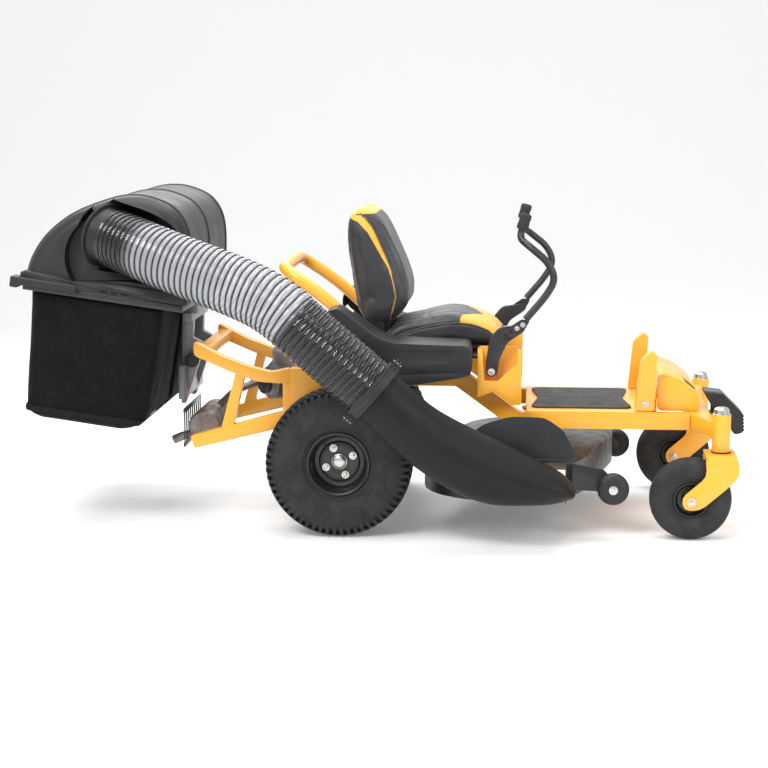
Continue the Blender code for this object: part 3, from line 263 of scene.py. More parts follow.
# ---- Black painted steel -------------------------------------------------------------------------
# Satin black coat on the deck, the levers, the seat's steelwork and the wheel discs, with thin grey
# scuffs.
BLACK_PAINT = (0.010, 0.010, 0.011)
black_paint = Finish("black_satin_paint", BLACK_PAINT, 0.38, Coat_Weight=0.2, Coat_Roughness=0.25)
scuff = black_paint.stepped(black_paint.noise(46.0, 8.0, 0.72), 0.60, 0.70)
black_paint.set("Base Color", black_paint.mix(scuff * 0.5, BLACK_PAINT, (0.050, 0.049, 0.047)))
black_paint.set(
    "Roughness", black_paint.stepped(black_paint.noise(20.0, 4.0), 0.3, 0.7, 0.32, 0.50) + scuff * 0.2
)
black_paint.set("Normal", black_paint.bump(black_paint.noise(520.0, 1.0), 0.0002, 0.4))
dress(black_paint, "engine_plate", "seat_base", "seat_mount")

# ---- Moulded plastic -----------------------------------------------------------------------------
# Polypropylene mouldings with a spark-eroded grain: hood, chute, wheel covers, guard and rollers.
PLASTIC = (0.0125, 0.0130, 0.0140)


def moulded(name, colour, grain=1.0, shine=0.46):
    made = Finish(name, colour, shine, Specular_IOR_Level=0.38)
    cells = made.add("ShaderNodeTexVoronoi", {"feature": "F1"}, Vector=made.place(), Scale=650.0)
    soft = made.noise(9.0, 5.0, 0.6)
    lighter = tuple(channel * 1.9 + 0.004 for channel in colour)
    made.set("Base Color", made.mix(made.stepped(soft, 0.4, 0.75) * 0.45, colour, lighter))
    made.set("Roughness", made.stepped(soft, 0.3, 0.7, shine - 0.06, shine + 0.10))
    made.set("Normal", made.bump(cells + made.noise(1400.0, 2.0) * 0.6, 0.00022 * grain, 0.55))
    return made


plastic = moulded("moulded_black_plastic", PLASTIC)

# ---- Bare metal ----------------------------------------------------------------------------------
# Ground steel shafts and blades, cast drive cases, and the muffler, whose skin has browned with heat.
steel = Finish("satin_steel", (0.30, 0.31, 0.32), 0.40, Metallic=0.9)
grain = steel.add("ShaderNodeMapping", {}, Vector=steel.place(), Scale=(1.0, 30.0, 1.0))
steel.set("Roughness", steel.stepped(steel.noise(60.0, 4.0, where=grain), 0.3, 0.7, 0.30, 0.52))
steel.set("Normal", steel.bump(steel.noise(300.0, 2.0, where=grain), 0.00015, 0.4))
dress(steel, *both("spindle", "blade"), "engine_pulley")
cast = Finish("sand_cast_alloy", (0.34, 0.34, 0.35), 0.55, Metallic=0.75)
cast.set("Normal", cast.bump(cast.noise(260.0, 5.0, 0.7), 0.0006, 0.6))
cast.set("Roughness", cast.stepped(cast.noise(30.0), 0.3, 0.7, 0.45, 0.65))
dress(cast, *both("drive_unit"))
hot = Finish("heat_browned_steel", (0.20, 0.17, 0.15), 0.5, Metallic=0.85)
hot.set(
    "Base Color",
    hot.mix(hot.stepped(hot.noise(14.0, 6.0, 0.65), 0.38, 0.66), (0.27, 0.26, 0.25), (0.15, 0.09, 0.06)),
)
hot.set("Roughness", hot.stepped(hot.noise(40.0, 4.0), 0.3, 0.7, 0.38, 0.66))

# ---- Rubber and vinyl ----------------------------------------------------------------------------
# The tyres are a worn rubber compound, and the seat's cover is a grained vinyl.
RUBBER = (0.018, 0.018, 0.019)
rubber = Finish("tyre_rubber", RUBBER, 0.80, Specular_IOR_Level=0.35)
worn = rubber.stepped(rubber.noise(16.0, 6.0, 0.65), 0.42, 0.72)
rubber.set("Base Color", rubber.mix(worn * 0.55, RUBBER, (0.045, 0.044, 0.042)))
rubber.set("Roughness", rubber.stepped(rubber.noise(60.0, 3.0), 0.3, 0.7, 0.68, 0.88))
rubber.set("Normal", rubber.bump(rubber.noise(700.0, 3.0), 0.0004, 0.5))
VINYL = (0.022, 0.023, 0.026)
vinyl = Finish("grained_black_vinyl", VINYL, 0.48, Sheen_Weight=0.08)
creases = vinyl.add(
    "ShaderNodeTexVoronoi", {"feature": "DISTANCE_TO_EDGE"}, Vector=vinyl.place(), Scale=380.0
)
vinyl.set("Normal", vinyl.bump(creases + vinyl.noise(60.0, 4.0) * 0.5, 0.0005, 0.6))
vinyl.set("Roughness", vinyl.stepped(vinyl.noise(14.0, 4.0), 0.3, 0.7, 0.40, 0.58))


# ---- Hose ----------------------------------------------------------------------------------------
# A clear PVC hose with a black spiral wire wound in its wall. It slides over the hood's collar and over
# the chute's pipe, whose black plastic shows through it at both ends, where the wall's colour is also
# painted dark as painted shade.
HOSE_ROUTE = [
    at(-0.773, -0.440, 1.018), at(-0.568, -0.560, 0.954), at(-0.237, -0.665, 0.838),
    at(-0.057, -0.700, 0.703), at(0.150, -0.700, 0.524),
]
HOSE_RADIUS = 0.1035
WIRE_RADIUS = 0.0030
WIRE_PITCH = 0.0215
VALLEY_DEPTH, RIB_RISE, WIRE_DEPTH = 0.0056, 0.0040, 0.0034  # from the hose's outside


def smooth_path(points, per_span):
    """Points along one smooth curve through the given ones."""
    padded = [2 * points[0] - points[1], *points, 2 * points[-1] - points[-2]]
    made = []
    for a, b, c, d in zip(padded, padded[1:], padded[2:], padded[3:]):
        for step in range(per_span):
            t = step / per_span
            bend = (2 * a - 5 * b + 4 * c - d) * t**2 + (3 * b - a - 3 * c + d) * t**3
            made.append(0.5 * (2 * b + (c - a) * t + bend))
    return [*made, points[-1]]


def evenly(path, spacing):
    """The path again, with points this far apart."""
    made, left = [path[0]], spacing
    for here, there in zip(path, path[1:]):
        length = (there - here).length
        done = 0.0
        while length - done >= left:
            done += left
            made.append(here.lerp(there, done / length))
            left = spacing
        left -= length - done
    return made


def frames(path):
    """Each point with the direction across the machine and the one square to it and to the path."""
    made = []
    for i, place in enumerate(path):
        on = (path[min(i + 1, len(path) - 1)] - path[max(i - 1, 0)]).normalized()
        across = (Vector((0, 1, 0)) - on * on.y).normalized()
        made.append((place, across, on.cross(across), on))
    return made


def skin(rings, closed=True, caps=False):
    """A mesh through rings of equally many points."""
    bm = bmesh.new()
    rows = [[bm.verts.new(point) for point in ring] for ring in rings]
    count = len(rows[0])
    for first, second in zip(rows, rows[1:]):
        for i in range(count if closed else count - 1):
            j = (i + 1) % count
            bm.faces.new((first[i], first[j], second[j], second[i]))
    if caps:
        bm.faces.new(rows[0][::-1])
        bm.faces.new(rows[-1])
    return bm


def piece(name, bm, finish, smooth_angle=40.0):
    """A finished object from mesh data, with its faces outwards and rounded parts shaded smooth."""
    bmesh.ops.remove_doubles(bm, verts=bm.verts, dist=1e-6)
    bmesh.ops.recalc_face_normals(bm, faces=bm.faces)
    mesh = bpy.data.meshes.new(name)
    bm.to_mesh(mesh)
    bm.free()
    mesh.materials.append(finish.material)
    mesh.shade_smooth()
    if smooth_angle:
        mesh.set_sharp_from_angle(angle=math.radians(smooth_angle))
    obj = bpy.data.objects.new(name, mesh)
    bpy.context.collection.objects.link(obj)
    return obj


def circle(place, across, up, radius, count):
    turns = [math.tau * i / count for i in range(count)]
    return [place + radius * (math.cos(turn) * across + math.sin(turn) * up) for turn in turns]


clear = Finish("clear_pvc", (0.55, 0.56, 0.58), 0.10, Coat_Weight=0.6, Coat_Roughness=0.04)
# Painted shade: where the hood's collar and the chute's pipe sit inside the hose, the wall's colour is
# painted near black and its alpha lowered a little.
lined = clear.add("ShaderNodeAttribute", {"attribute_name": "lined"}, output="Fac")
clear.set("Alpha", clear.stepped(lined, 0.0, 1.0, 0.62, 0.55))
clear.set("Base Color", clear.mix(lined, (0.42, 0.43, 0.45), (0.022, 0.022, 0.024)))
clear.set("Roughness", clear.stepped(clear.noise(24.0, 3.0), 0.3, 0.7, 0.05, 0.15))
wire = Finish("black_spiral_wire", (0.012, 0.012, 0.013), 0.30, Coat_Weight=0.3)
wire.set("Roughness", wire.stepped(wire.noise(80.0, 3.0), 0.3, 0.7, 0.24, 0.42))

STEPS_PER_RIB = 6
rings = []
for i, (place, across, up, on) in enumerate(
    frames(evenly(smooth_path(HOSE_ROUTE, 40), WIRE_PITCH / STEPS_PER_RIB))
):
    ring = []
    for step in range(48):
        turn = math.tau * step / 48
        swell = 0.5 - 0.5 * math.cos(math.tau * i / STEPS_PER_RIB - turn)
        radius = HOSE_RADIUS - VALLEY_DEPTH + RIB_RISE * swell
        ring.append(place + radius * (math.cos(turn) * across + math.sin(turn) * up))
    rings.append(ring)
hose_wall = piece("hose_wall", skin(rings), clear, 0)
COLLAR_REACH, PIPE_REACH = 0.205, 0.400  # how far the collar and the chute's pipe show inside the hose
# The mark for that painted shade: 1 within the collar's and the pipe's reach from each end, fading to 0
# beyond.
mark = hose_wall.data.attributes.new("lined", "FLOAT", "POINT")
lower_end = HOSE_ROUTE[-1]
for vertex in hose_wall.data.vertices:
    from_collar = (vertex.co - HOSE_ROUTE[0]).length
    from_chute = (vertex.co - lower_end).length
    near = max((COLLAR_REACH - from_collar) / 0.05, (PIPE_REACH - from_chute) / 0.02)
    mark.data[vertex.index].value = min(1.0, max(0.0, near))
TURN_STEPS = 36
wire_path = []
for i, (place, across, up, on) in enumerate(
    frames(evenly(smooth_path(HOSE_ROUTE, 40), WIRE_PITCH / TURN_STEPS))
):
    turn = math.tau * i / TURN_STEPS
    wire_path.append(place + (HOSE_RADIUS - WIRE_DEPTH) * (math.cos(turn) * across + math.sin(turn) * up))
rings = []
for before, place, after in zip(wire_path, wire_path[1:], wire_path[2:]):
    on = (after - before).normalized()
    side = on.cross(Vector((0.3, 0.2, 1.0))).normalized()
    rings.append(circle(place, side, on.cross(side), WIRE_RADIUS, 6))
hose_wire = piece("hose_wire", skin(rings, caps=True), wire, 0)
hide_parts("bagger_hose")
for obj in (hose_wall, hose_wire):
    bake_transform(obj)

# ---- Bags ----------------------------------------------------------------------------------------
# Two sewn bags of black coated polyester cloth, hung by their hems from the carrier. The walls bulge and
# pucker, and narrow downwards.
TILT = Matrix.Translation(at(-0.590, 0.0, 0.800)) @ Matrix.Rotation(math.radians(8), 4, "Y")
CLOTH = (0.0032, 0.0032, 0.0036)


def woven(name, colour, pitch):
    """A plain weave: two sets of threads, each over and under the other."""
    made = Finish(name, colour, 0.88, Sheen_Weight=0.05, Sheen_Roughness=0.4, Specular_IOR_Level=0.14)
    along = made.add("ShaderNodeTexWave", {"bands_direction": "Z"}, made.place(), 1.0 / pitch * 0.314)
    over = made.add("ShaderNodeTexWave", {"bands_direction": "X"}, made.place(), 1.0 / pitch * 0.314)
    aside = made.add("ShaderNodeTexWave", {"bands_direction": "Y"}, made.place(), 1.0 / pitch * 0.314)
    weave = made.add("ShaderNodeMath", {"operation": "MAXIMUM"}, along, (over + aside) * 0.5)
    fold = made.bump(made.noise(9.0, 5.0, 0.66), 0.03, 0.7)
    made.set("Normal", made.bump(weave, 0.0004, 0.6, under=fold))
    fade = made.stepped(made.noise(7.0, 6.0, 0.65), 0.42, 0.75)
    made.set("Base Color", made.mix(fade * 0.5 + weave * 0.2, colour, (0.010, 0.010, 0.011)))
    made.set("Roughness", made.stepped(made.noise(30.0, 4.0), 0.3, 0.7, 0.78, 0.95))
    return made


cloth = woven("black_bag_cloth", CLOTH, 0.0022)
tape = woven("black_binding_tape", (0.010, 0.010, 0.011), 0.0015)


def rounded_ring(x, y, height, radius, per_corner=6, per_side=14):
    """Points round a rectangle with round corners, at this height."""
    made = []
    corners = (
        ((x[1] - radius, y[1] - radius), 0),
        ((x[0] + radius, y[1] - radius), 1),
        ((x[0] + radius, y[0] + radius), 2),
        ((x[1] - radius, y[0] + radius), 3),
    )
    arcs = []
    for (cx, cy), quarter in corners:
        arcs.append(
            [
                Vector((cx + radius * math.cos(a), cy + radius * math.sin(a), height))
                for a in (math.pi / 2 * (quarter + i / per_corner) for i in range(per_corner + 1))
            ]
        )
    for i, arc in enumerate(arcs):
        made += arc
        following = arcs[(i + 1) % 4][0]
        made += [arc[-1].lerp(following, step / per_side) for step in range(1, per_side)]
    return made


BAG_TOP, BAG_BOTTOM = -0.031, -0.466


def bag_sides(drop):
    """Front and rear edge of the bag at a share of its depth: it narrows downwards."""
    rear = -0.478 + 0.034 * drop
    front = -0.020 - 0.010 * drop - (0.045 * ((drop - 0.86) / 0.14) if drop > 0.86 else 0)
    return rear, front


def pucker(point, out, drop, seed):
    """How far the cloth stands out from the flat pattern here."""
    belly = 0.010 * math.sin(math.pi * min(drop * 1.05, 1)) * out
    crease = noise.noise(Vector((point.x * 7 + seed, point.y * 7, point.z * 4.0)))
    fine = noise.noise(Vector((point.x * 22 + seed, point.y * 22, point.z * 9.0)))
    return belly + 0.0055 * crease + 0.0024 * fine * (1 - 0.5 * drop)


for side, sign in SIDES:
    inner, outer = sorted((sign * 0.018, sign * 0.446))
    rings = []
    levels = 44
    for level in range(levels + 1):
        drop = level / levels
        rear, front = bag_sides(drop)
        height = BAG_TOP + (BAG_BOTTOM - BAG_TOP) * drop
        pull = 0.030 * max(0.0, (drop - 0.93) / 0.07) ** 2
        ring = rounded_ring((rear + pull, front - pull), (inner + pull, outer - pull), height, 0.026)
        centre = sum(ring, Vector()) / len(ring)
        shaped = []
        for point in ring:
            flat = point - centre
            flat.z = 0
            reach = max(abs(flat.x) / 0.22, abs(flat.y) / 0.21)
            corner = min(abs(flat.x) / 0.22, abs(flat.y) / 0.21)
            puff = pucker(point, 1 - corner**3, drop, sign * 3.1) * min(1, drop * 9)
            shaped.append(TILT @ (point + flat.normalized() * puff * reach))
        rings.append(shaped)
    bm = skin(rings)
    bm.verts.ensure_lookup_table()
    last = bm.verts[len(bm.verts) - len(rings[-1]) :]
    bm.faces.new(last)
    bag = piece(f"cloth_bag_{side}", bm, cloth, 0)
    wall = bag.modifiers.new("cloth_thickness", "SOLIDIFY")
    wall.thickness = 0.0025
    wall.offset = 1
    fixed(bag, "bag_fabric", f"grass_bag_{side}", f"bag_{side}")

# ---- Hood ----------------------------------------------------------------------------------------
# A rotation moulded polyethylene hood: one arch across both bags, a recess at its right front that the
# hose leaves from, a rolled rim, and raised ribs where its end caps meet the arch.
ARCH = [
    (-0.513, 0.0), (-0.497, 0.085), (-0.452, 0.172), (-0.367, 0.256), (-0.247, 0.322), (-0.174, 0.344),
    (-0.104, 0.344), (-0.025, 0.318), (0.028, 0.252), (0.052, 0.140), (0.056, 0.0),
]
ARCH_MIDDLE = -0.230
HOOD_HALF = 0.465
HOOD_WALL = 0.004
arch_path = smooth_path([Vector((x, 0, z)) for x, z in ARCH], 6)


def arch_ring(y, scale, inset=0.0, base=0.0):
    made = []
    for point in arch_path:
        out = Vector((point.x - ARCH_MIDDLE, 0, point.z))
        out = out.normalized() * (out.length * scale - inset)
        made.append(TILT @ Vector((ARCH_MIDDLE + out.x, y, out.z if point.z > 0.001 else base)))
    return made


def end_scale(share):
    """The arch stays full across the middle and rounds in at the two ends."""
    past = max(0.0, (abs(share) - 0.84) / 0.16)
    return 1.0 - 0.16 * (1 - math.sqrt(max(0.0, 1 - past**2.2)))


def dome(half, inset, base):
    count = 56
    shares = [math.sin(math.pi / 2 * (2 * i / count - 1)) for i in range(count + 1)]
    return skin([arch_ring(half * share, end_scale(share), inset, base) for share in shares], caps=True)


def cylinder(start, end, radius, sides=64, end_radius=None):
    bm = bmesh.new()
    bmesh.ops.create_cone(
        bm,
        cap_ends=True,
        segments=sides,
        radius1=radius,
        radius2=radius if end_radius is None else end_radius,
        depth=(end - start).length,
    )
    turn = (end - start).to_track_quat("Z", "Y").to_matrix().to_4x4()
    bmesh.ops.transform(bm, verts=bm.verts, matrix=Matrix.Translation((start + end) / 2) @ turn)
    return bm


def box(x, y, z, edge=0.0):
    """A box from its ends on each axis, with its edges rounded."""
    bm = bmesh.new()
    bmesh.ops.create_cube(bm, size=1)
    size = Vector((x[1] - x[0], y[1] - y[0], z[1] - z[0]))
    centre = Vector((x[0] + x[1], y[0] + y[1], z[0] + z[1])) / 2
    bmesh.ops.transform(bm, verts=bm.verts, matrix=Matrix.Translation(centre) @ Matrix.Diagonal((*size, 1)))
    if edge:
        bmesh.ops.bevel(bm, geom=bm.edges, offset=edge, segments=3, affect="EDGES", profile=0.5)
    return bm


def moved(bm, matrix):
    bmesh.ops.transform(bm, verts=bm.verts, matrix=matrix)
    return bm


def shaded(obj, sharp_above):
    """Shades the object smooth except at edges sharper than this many degrees."""
    obj.data.shade_smooth()
    obj.data.set_sharp_from_angle(angle=math.radians(sharp_above))


def settled(obj):
    """The object with its modifiers worked into its mesh."""
    graph = bpy.context.evaluated_depsgraph_get()
    mesh = bpy.data.meshes.new_from_object(obj.evaluated_get(graph), depsgraph=graph)
    obj.modifiers.clear()
    old = obj.data
    obj.data = mesh
    mesh.name = obj.name
    bpy.data.meshes.remove(old)
    return obj


def carved(obj, *cutters):
    """The object with others cut from it. The others are used up."""
    for cutter in cutters:
        modifier = obj.modifiers.new("carve", "BOOLEAN")
        modifier.operation = "DIFFERENCE"
        modifier.object = cutter
    settled(obj)
    for cutter in cutters:
        bpy.data.objects.remove(cutter)
    return obj


hose_start = HOSE_ROUTE[0]
hose_on = (smooth_path(HOSE_ROUTE, 4)[1] - hose_start).normalized()
RECESS = 0.128
COLLAR = 0.0960
seat_of_hose = hose_start - hose_on * 0.050
hood = piece("moulded_hood", dome(HOOD_HALF, 0, 0), plastic)
hollow = piece("hood_hollow", dome(HOOD_HALF - HOOD_WALL, HOOD_WALL, -0.03), plastic)
reach = hose_on * 0.60
keep = piece(
    "recess_keep",
    cylinder(seat_of_hose - hose_on * HOOD_WALL, seat_of_hose + reach, RECESS + HOOD_WALL),
    plastic,
)
recess = piece("recess", cylinder(seat_of_hose, seat_of_hose + reach, RECESS), plastic)
mouth = piece(
    "hood_mouth",
    cylinder(seat_of_hose - hose_on * 0.05, seat_of_hose + hose_on * 0.02, COLLAR - 0.002),
    plastic,
)
POCKET_AT, POCKET_RADIUS, POCKET_FLOOR, POCKET_BACK = (-0.795, 0.952), 0.150, 0.872, -0.402


def pocket(grown):
    """The arch-shaped hollow that the hose starts in, with a shelf for its floor."""
    outline = []
    for step in range(72):
        turn = math.tau * step / 72
        x = POCKET_AT[0] + (POCKET_RADIUS + grown) * math.cos(turn)
        z = POCKET_AT[1] + (POCKET_RADIUS + grown) * math.sin(turn)
        outline.append((x, max(z, POCKET_FLOOR - grown)))
    return skin([[at(x, y, z) for x, z in outline] for y in (POCKET_BACK + grown, -0.62)], caps=True)


carved(hollow, keep, piece("pocket_keep", pocket(HOOD_WALL), plastic))
carved(hood, recess, piece("pocket", pocket(0.0), plastic), hollow, mouth)
soften = hood.modifiers.new("rolled_edges", "BEVEL")
soften.width = 0.003
soften.segments = 3
soften.limit_method = "ANGLE"
soften.angle_limit = math.radians(42)
settled(hood)
shaded(hood, 38)
fixed(hood, "black_plastic", "chassis", "hood")


def turned(profile, centre, axis, steps=64, closed=False):
    """A (radius, along) profile turned about an axis through centre."""
    axis = Vector(axis).normalized()
    side = axis.orthogonal().normalized()
    up = axis.cross(side)
    rings = []
    for step in range(steps):
        turn = math.tau * step / steps
        out = math.cos(turn) * side + math.sin(turn) * up
        rings.append([centre + out * radius + axis * along for radius, along in profile])
    bm = bmesh.new()
    rows = [[bm.verts.new(point) for point in ring] for ring in rings]
    count = len(profile)
    for step in range(steps):
        first, second = rows[step], rows[(step + 1) % steps]
        for i in range(count if closed else count - 1):
            j = (i + 1) % count
            bm.faces.new((first[i], second[i], second[j], first[j]))
    bmesh.ops.remove_doubles(bm, verts=bm.verts, dist=1e-6)
    return bm


def lathed(name, profile, centre, axis, finish, sharp=40.0, steps=64, closed=False):
    """A piece turned from its profile."""
    return piece(name, turned(profile, centre, axis, steps, closed), finish, sharp)


collar = lathed(
    "hood_collar",
    [
        (COLLAR - 0.004, -0.018), (COLLAR, -0.018), (COLLAR, -0.0002), (COLLAR + 0.016, 0.0004),
        (COLLAR + 0.017, 0.003), (COLLAR + 0.014, 0.006), (COLLAR + 0.002, 0.007), (COLLAR, 0.012),
        (COLLAR, 0.138), (COLLAR - 0.004, 0.140),
    ],
    seat_of_hose,
    hose_on,
    plastic,
    closed=True,
)
fixed(collar, "black_plastic", "chassis")


def arch_bar(y, scale, width, height):
    """A raised rib that follows the arch."""
    rings = []
    for inner, outer in zip(arch_ring(y, scale, 0.001)[2:-2], arch_ring(y, scale, -height)[2:-2]):
        across = Vector((0, width / 2, 0))
        rings.append([inner - across, inner + across, outer + across * 0.7, outer - across * 0.7])
    return skin(rings, caps=True)


for number, y in enumerate((-0.392, 0.0, 0.392)):
    rib = piece(f"hood_rib_{number}", arch_bar(y, end_scale(y / HOOD_HALF), 0.012, 0.0045), plastic)
    if number == 0:
        carved(rib, piece("rib_gap", cylinder(seat_of_hose, seat_of_hose + reach, RECESS + 0.001), plastic))
        carved(rib, piece("rib_gap", pocket(0.001), plastic))
    fixed(rib, "black_plastic", "chassis")
for name, y in (
    ("right", (-HOOD_HALF - 0.008, -HOOD_HALF + 0.022)), ("left", (HOOD_HALF - 0.022, HOOD_HALF + 0.008))
):
    rail = piece(f"hood_rim_{name}", moved(box((-0.508, 0.058), y, (-0.001, 0.040), 0.004), TILT), plastic)
    slots = [
        piece(
            f"rim_slot_{name}_{i}",
            moved(
                box((-0.235 + 0.036 * i, -0.208 + 0.036 * i), (y[0] - 0.01, y[1] + 0.01), (0.004, 0.010)),
                TILT,
            ),
            plastic,
        )
        for i in range(3)
    ]
    if name == "right":
        slots.append(piece("rim_gap", cylinder(seat_of_hose, seat_of_hose + reach, RECESS + 0.001), plastic))
        slots.append(piece("rim_gap", pocket(0.001), plastic))
    carved(rail, *slots)
    fixed(rail, "black_plastic", "chassis")
for name, x in (("rear", (-0.520, -0.500)), ("front", (0.046, 0.066))):
    lip = piece(
        f"hood_rim_{name}", moved(box(x, (-HOOD_HALF, HOOD_HALF), (-0.001, 0.034), 0.004), TILT), plastic
    )
    fixed(lip, "black_plastic", "chassis")

# ---- Chute ---------------------------------------------------------------------------------------
# One rotation moulded scoop over the deck's outlet. Its round pipe runs up inside the hose, and below the
# hose it widens, turns along the deck and flattens to a rounded tip, with a soft ridge down its outer
# side.
CHUTE_PIPE = 0.0945
CHUTE_BELOW = [
    (at(0.275, -0.692, 0.408), 0.098, 0.096),
    (at(0.425, -0.682, 0.312), 0.108, 0.100),
    (at(0.540, -0.672, 0.262), 0.106, 0.100),
    (at(0.660, -0.668, 0.232), 0.080, 0.098),
    (at(0.750, -0.666, 0.212), 0.052, 0.090),
    (at(0.800, -0.664, 0.198), 0.020, 0.064),
]
CHUTE_INSIDE = 0.38


def tail_of(path, length):
    """The last stretch of a path, of this length."""
    made = [path[-1]]
    left = length
    for point in path[-2::-1]:
        step = (made[-1] - point).length
        if step >= left:
            made.append(made[-1].lerp(point, left / step))
            break
        made.append(point)
        left -= step
    return made[::-1]


pipe_path = evenly(tail_of(smooth_path(HOSE_ROUTE, 40), CHUTE_INSIDE), 0.02)
below = [pipe_path[-1], *(point for point, _, _ in CHUTE_BELOW)]
heights = [CHUTE_PIPE, *(height for _, height, _ in CHUTE_BELOW)]
widths = [CHUTE_PIPE, *(width for _, _, width in CHUTE_BELOW)]
sizes = smooth_path([Vector((h, w, i)) for i, (h, w) in enumerate(zip(heights, widths))], 10)
scoop_path = smooth_path([pipe_path[-3], *below], 10)[10:]
flow = [*pipe_path[:-1], *scoop_path]
sizes = [Vector((CHUTE_PIPE, CHUTE_PIPE, 0))] * (len(pipe_path) - 1) + sizes


def chute_skin(shrink, back=0.0):
    """The scoop's skin, this far inside its outer face. A cutter starts further back, outside the pipe."""
    rings = []
    for (place, across, up, on), size in zip(frames(flow), sizes):
        drawn = min(1.0, size.z / 4.0)
        ring = []
        for step in range(72):
            turn = math.tau * step / 72
            out, rise = math.cos(turn), math.sin(turn)
            if out < 0:
                ridge = math.exp(-((rise / 0.34) ** 2))
                out *= 1.0 - 0.10 * drawn * (1 - ridge) * abs(rise) ** 0.5
            ring.append(place + (size.y - shrink) * out * across + (size.x - shrink) * rise * up)
        rings.append([point - on * back for point in ring] if not rings else ring)
    for shut in (0.75, 0.35):
        centre = sum(rings[-1], Vector()) / 72
        last = rings[-1]
        rings.append([centre + (point - centre) * shut + Vector((0.005 * shut, 0, -0.001)) for point in last])
    return skin(rings, caps=True)


scoop_plastic = moulded("matt_scoop_plastic", (0.0050, 0.0050, 0.0054), 0.8, 0.50)
scoop_plastic.set("Specular IOR Level", 0.24)
chute = piece("moulded_chute", chute_skin(0), scoop_plastic, 0)
hollow = piece("chute_hollow", chute_skin(0.004, 0.02), plastic, 0)
carved(
    chute,
    hollow,
    piece(
        "chute_mouth",
        moved(box((0.530, 0.750), (-0.660, -0.500), (0.196, 0.240)), ON_GROUND),
        plastic,
    ),
    piece(
        "deck_side",
        moved(box((0.300, 0.900), (-0.5725, -0.400), (0.100, 0.450)), ON_GROUND),
        plastic,
    ),
)
chute.data.set_sharp_from_angle(angle=math.radians(50))
fixed(chute, "black_plastic", "deck", "bagger_chute")

# ---- Hose clamp ----------------------------------------------------------------------------------
# A split nylon collar over the hose's lower end, closed by a screw through the ear at its top and another
# below.
ring_path = tail_of(smooth_path(HOSE_ROUTE, 40), 0.040)
ring_start, ring_end = ring_path[0], ring_path[-1]
_, ring_across, ring_up, ring_on = frames([ring_start, ring_end])[0]
clamp = lathed(
    "clamp_ring",
    [
        (0.1043, 0.000), (0.1100, 0.000), (0.1118, 0.0015), (0.1118, 0.009), (0.1098, 0.011), (0.1098, 0.029),
        (0.1125, 0.031), (0.1125, 0.0385), (0.1105, 0.040), (0.1043, 0.040),
    ],
    ring_start,
    ring_on,
    plastic,
    steps=96,
    closed=True,
)
fixed(clamp, "black_plastic", "deck", "hose_clamp")
for name, hand in (("upper", 1), ("lower", -1)):
    foot = ring_start + ring_on * 0.020 + ring_up * hand * 0.108 - ring_across * 0.016
    for number, shift in enumerate((-0.007, 0.007)):
        start = foot + ring_on * (shift - 0.0025)
        ear = piece(
            f"clamp_ear_{name}_{number}",
            skin(
                [
                    [
                        start + ring_on * depth + ring_up * hand * rise + ring_across * side
                        for rise, side in (
                            (0, -0.011), (0.020, -0.010), (0.029, -0.004), (0.031, 0.003), (0.024, 0.010),
                            (0, 0.013),
                        )
                    ]
                    for depth in (0.0, 0.005)
                ],
                caps=True,
            ),
            plastic,
        )
        fixed(ear, "black_plastic", "deck")
    through = foot + ring_up * hand * 0.018
    shank = cylinder(through - ring_on * 0.017, through + ring_on * 0.016, 0.0035, 20)
    screw = piece(f"clamp_screw_{name}", shank, steel)
    fixed(screw, "grey_steel", "deck")

# ---- Rear wheels ---------------------------------------------------------------------------------
# Turf tyres on pressed steel rims, each held to its drive hub by four nuts round a plated cap. The tread
# is five rows of low blocks, and the outer rows run down on to the shoulders.


def repeated(name, template, finish, points_kind, points_inputs, aligned):
    """Copies of a small mesh on the points of a circle or a line, as one realised mesh."""
    tree = bpy.data.node_groups.new(name, "GeometryNodeTree")
    interface = tree.interface
    interface.new_socket("Template", in_out="INPUT", socket_type="NodeSocketObject")
    for key, value in points_inputs.items():
        kind = {int: "NodeSocketInt", float: "NodeSocketFloat"}.get(type(value), "NodeSocketVector")
        interface.new_socket(key, in_out="INPUT", socket_type=kind)
    interface.new_socket("Material", in_out="INPUT", socket_type="NodeSocketMaterial")
    interface.new_socket("Geometry", in_out="OUTPUT", socket_type="NodeSocketGeometry")
    new, link = tree.nodes.new, tree.links.new
    given, result = new("NodeGroupInput"), new("NodeGroupOutput")
    source = new("GeometryNodeObjectInfo")
    points = new(points_kind)
    copies = new("GeometryNodeInstanceOnPoints")
    whole = new("GeometryNodeRealizeInstances")
    painted = new("GeometryNodeSetMaterial")
    link(given.outputs["Template"], source.inputs["Object"])
    for key in points_inputs:
        link(given.outputs[key], points.inputs[key])
    link(points.outputs["Mesh"], copies.inputs["Points"])
    link(source.outputs["Geometry"], copies.inputs["Instance"])
    if aligned:
        turn = new("FunctionNodeAlignRotationToVector")
        turn.axis, turn.pivot_axis = "X", "Z"
        link(new("GeometryNodeInputPosition").outputs["Position"], turn.inputs["Vector"])
        link(turn.outputs["Rotation"], copies.inputs["Rotation"])
    link(copies.outputs["Instances"], whole.inputs["Geometry"])
    link(whole.outputs["Geometry"], painted.inputs["Geometry"])
    link(given.outputs["Material"], painted.inputs["Material"])
    link(painted.outputs["Geometry"], result.inputs["Geometry"])
    small = piece(name + "_template", template, finish)
    obj = piece(name, bmesh.new(), finish)
    modifier = obj.modifiers.new("copies", "NODES")
    modifier.node_group = tree
    values = {"Template": small, "Material": finish.material, **points_inputs}
    for item in tree.interface.items_tree:
        if item.in_out == "INPUT":
            modifier[item.identifier] = values[item.name]
    settled(obj)
    bpy.data.objects.remove(small)
    return obj


def around(name, template, finish, count, radius, centre, axis, phase=0.0):
    """Copies round an axis. In the template, X points outwards and Z along the axis."""
    obj = repeated(
        name, template, finish, "GeometryNodeMeshCircle", {"Vertices": count, "Radius": radius}, True
    )
    place = Matrix.Translation(centre) @ Vector(axis).to_track_quat("Z", "X").to_matrix().to_4x4()
    obj.data.transform(place @ Matrix.Rotation(phase, 4, "Z"))
    return obj


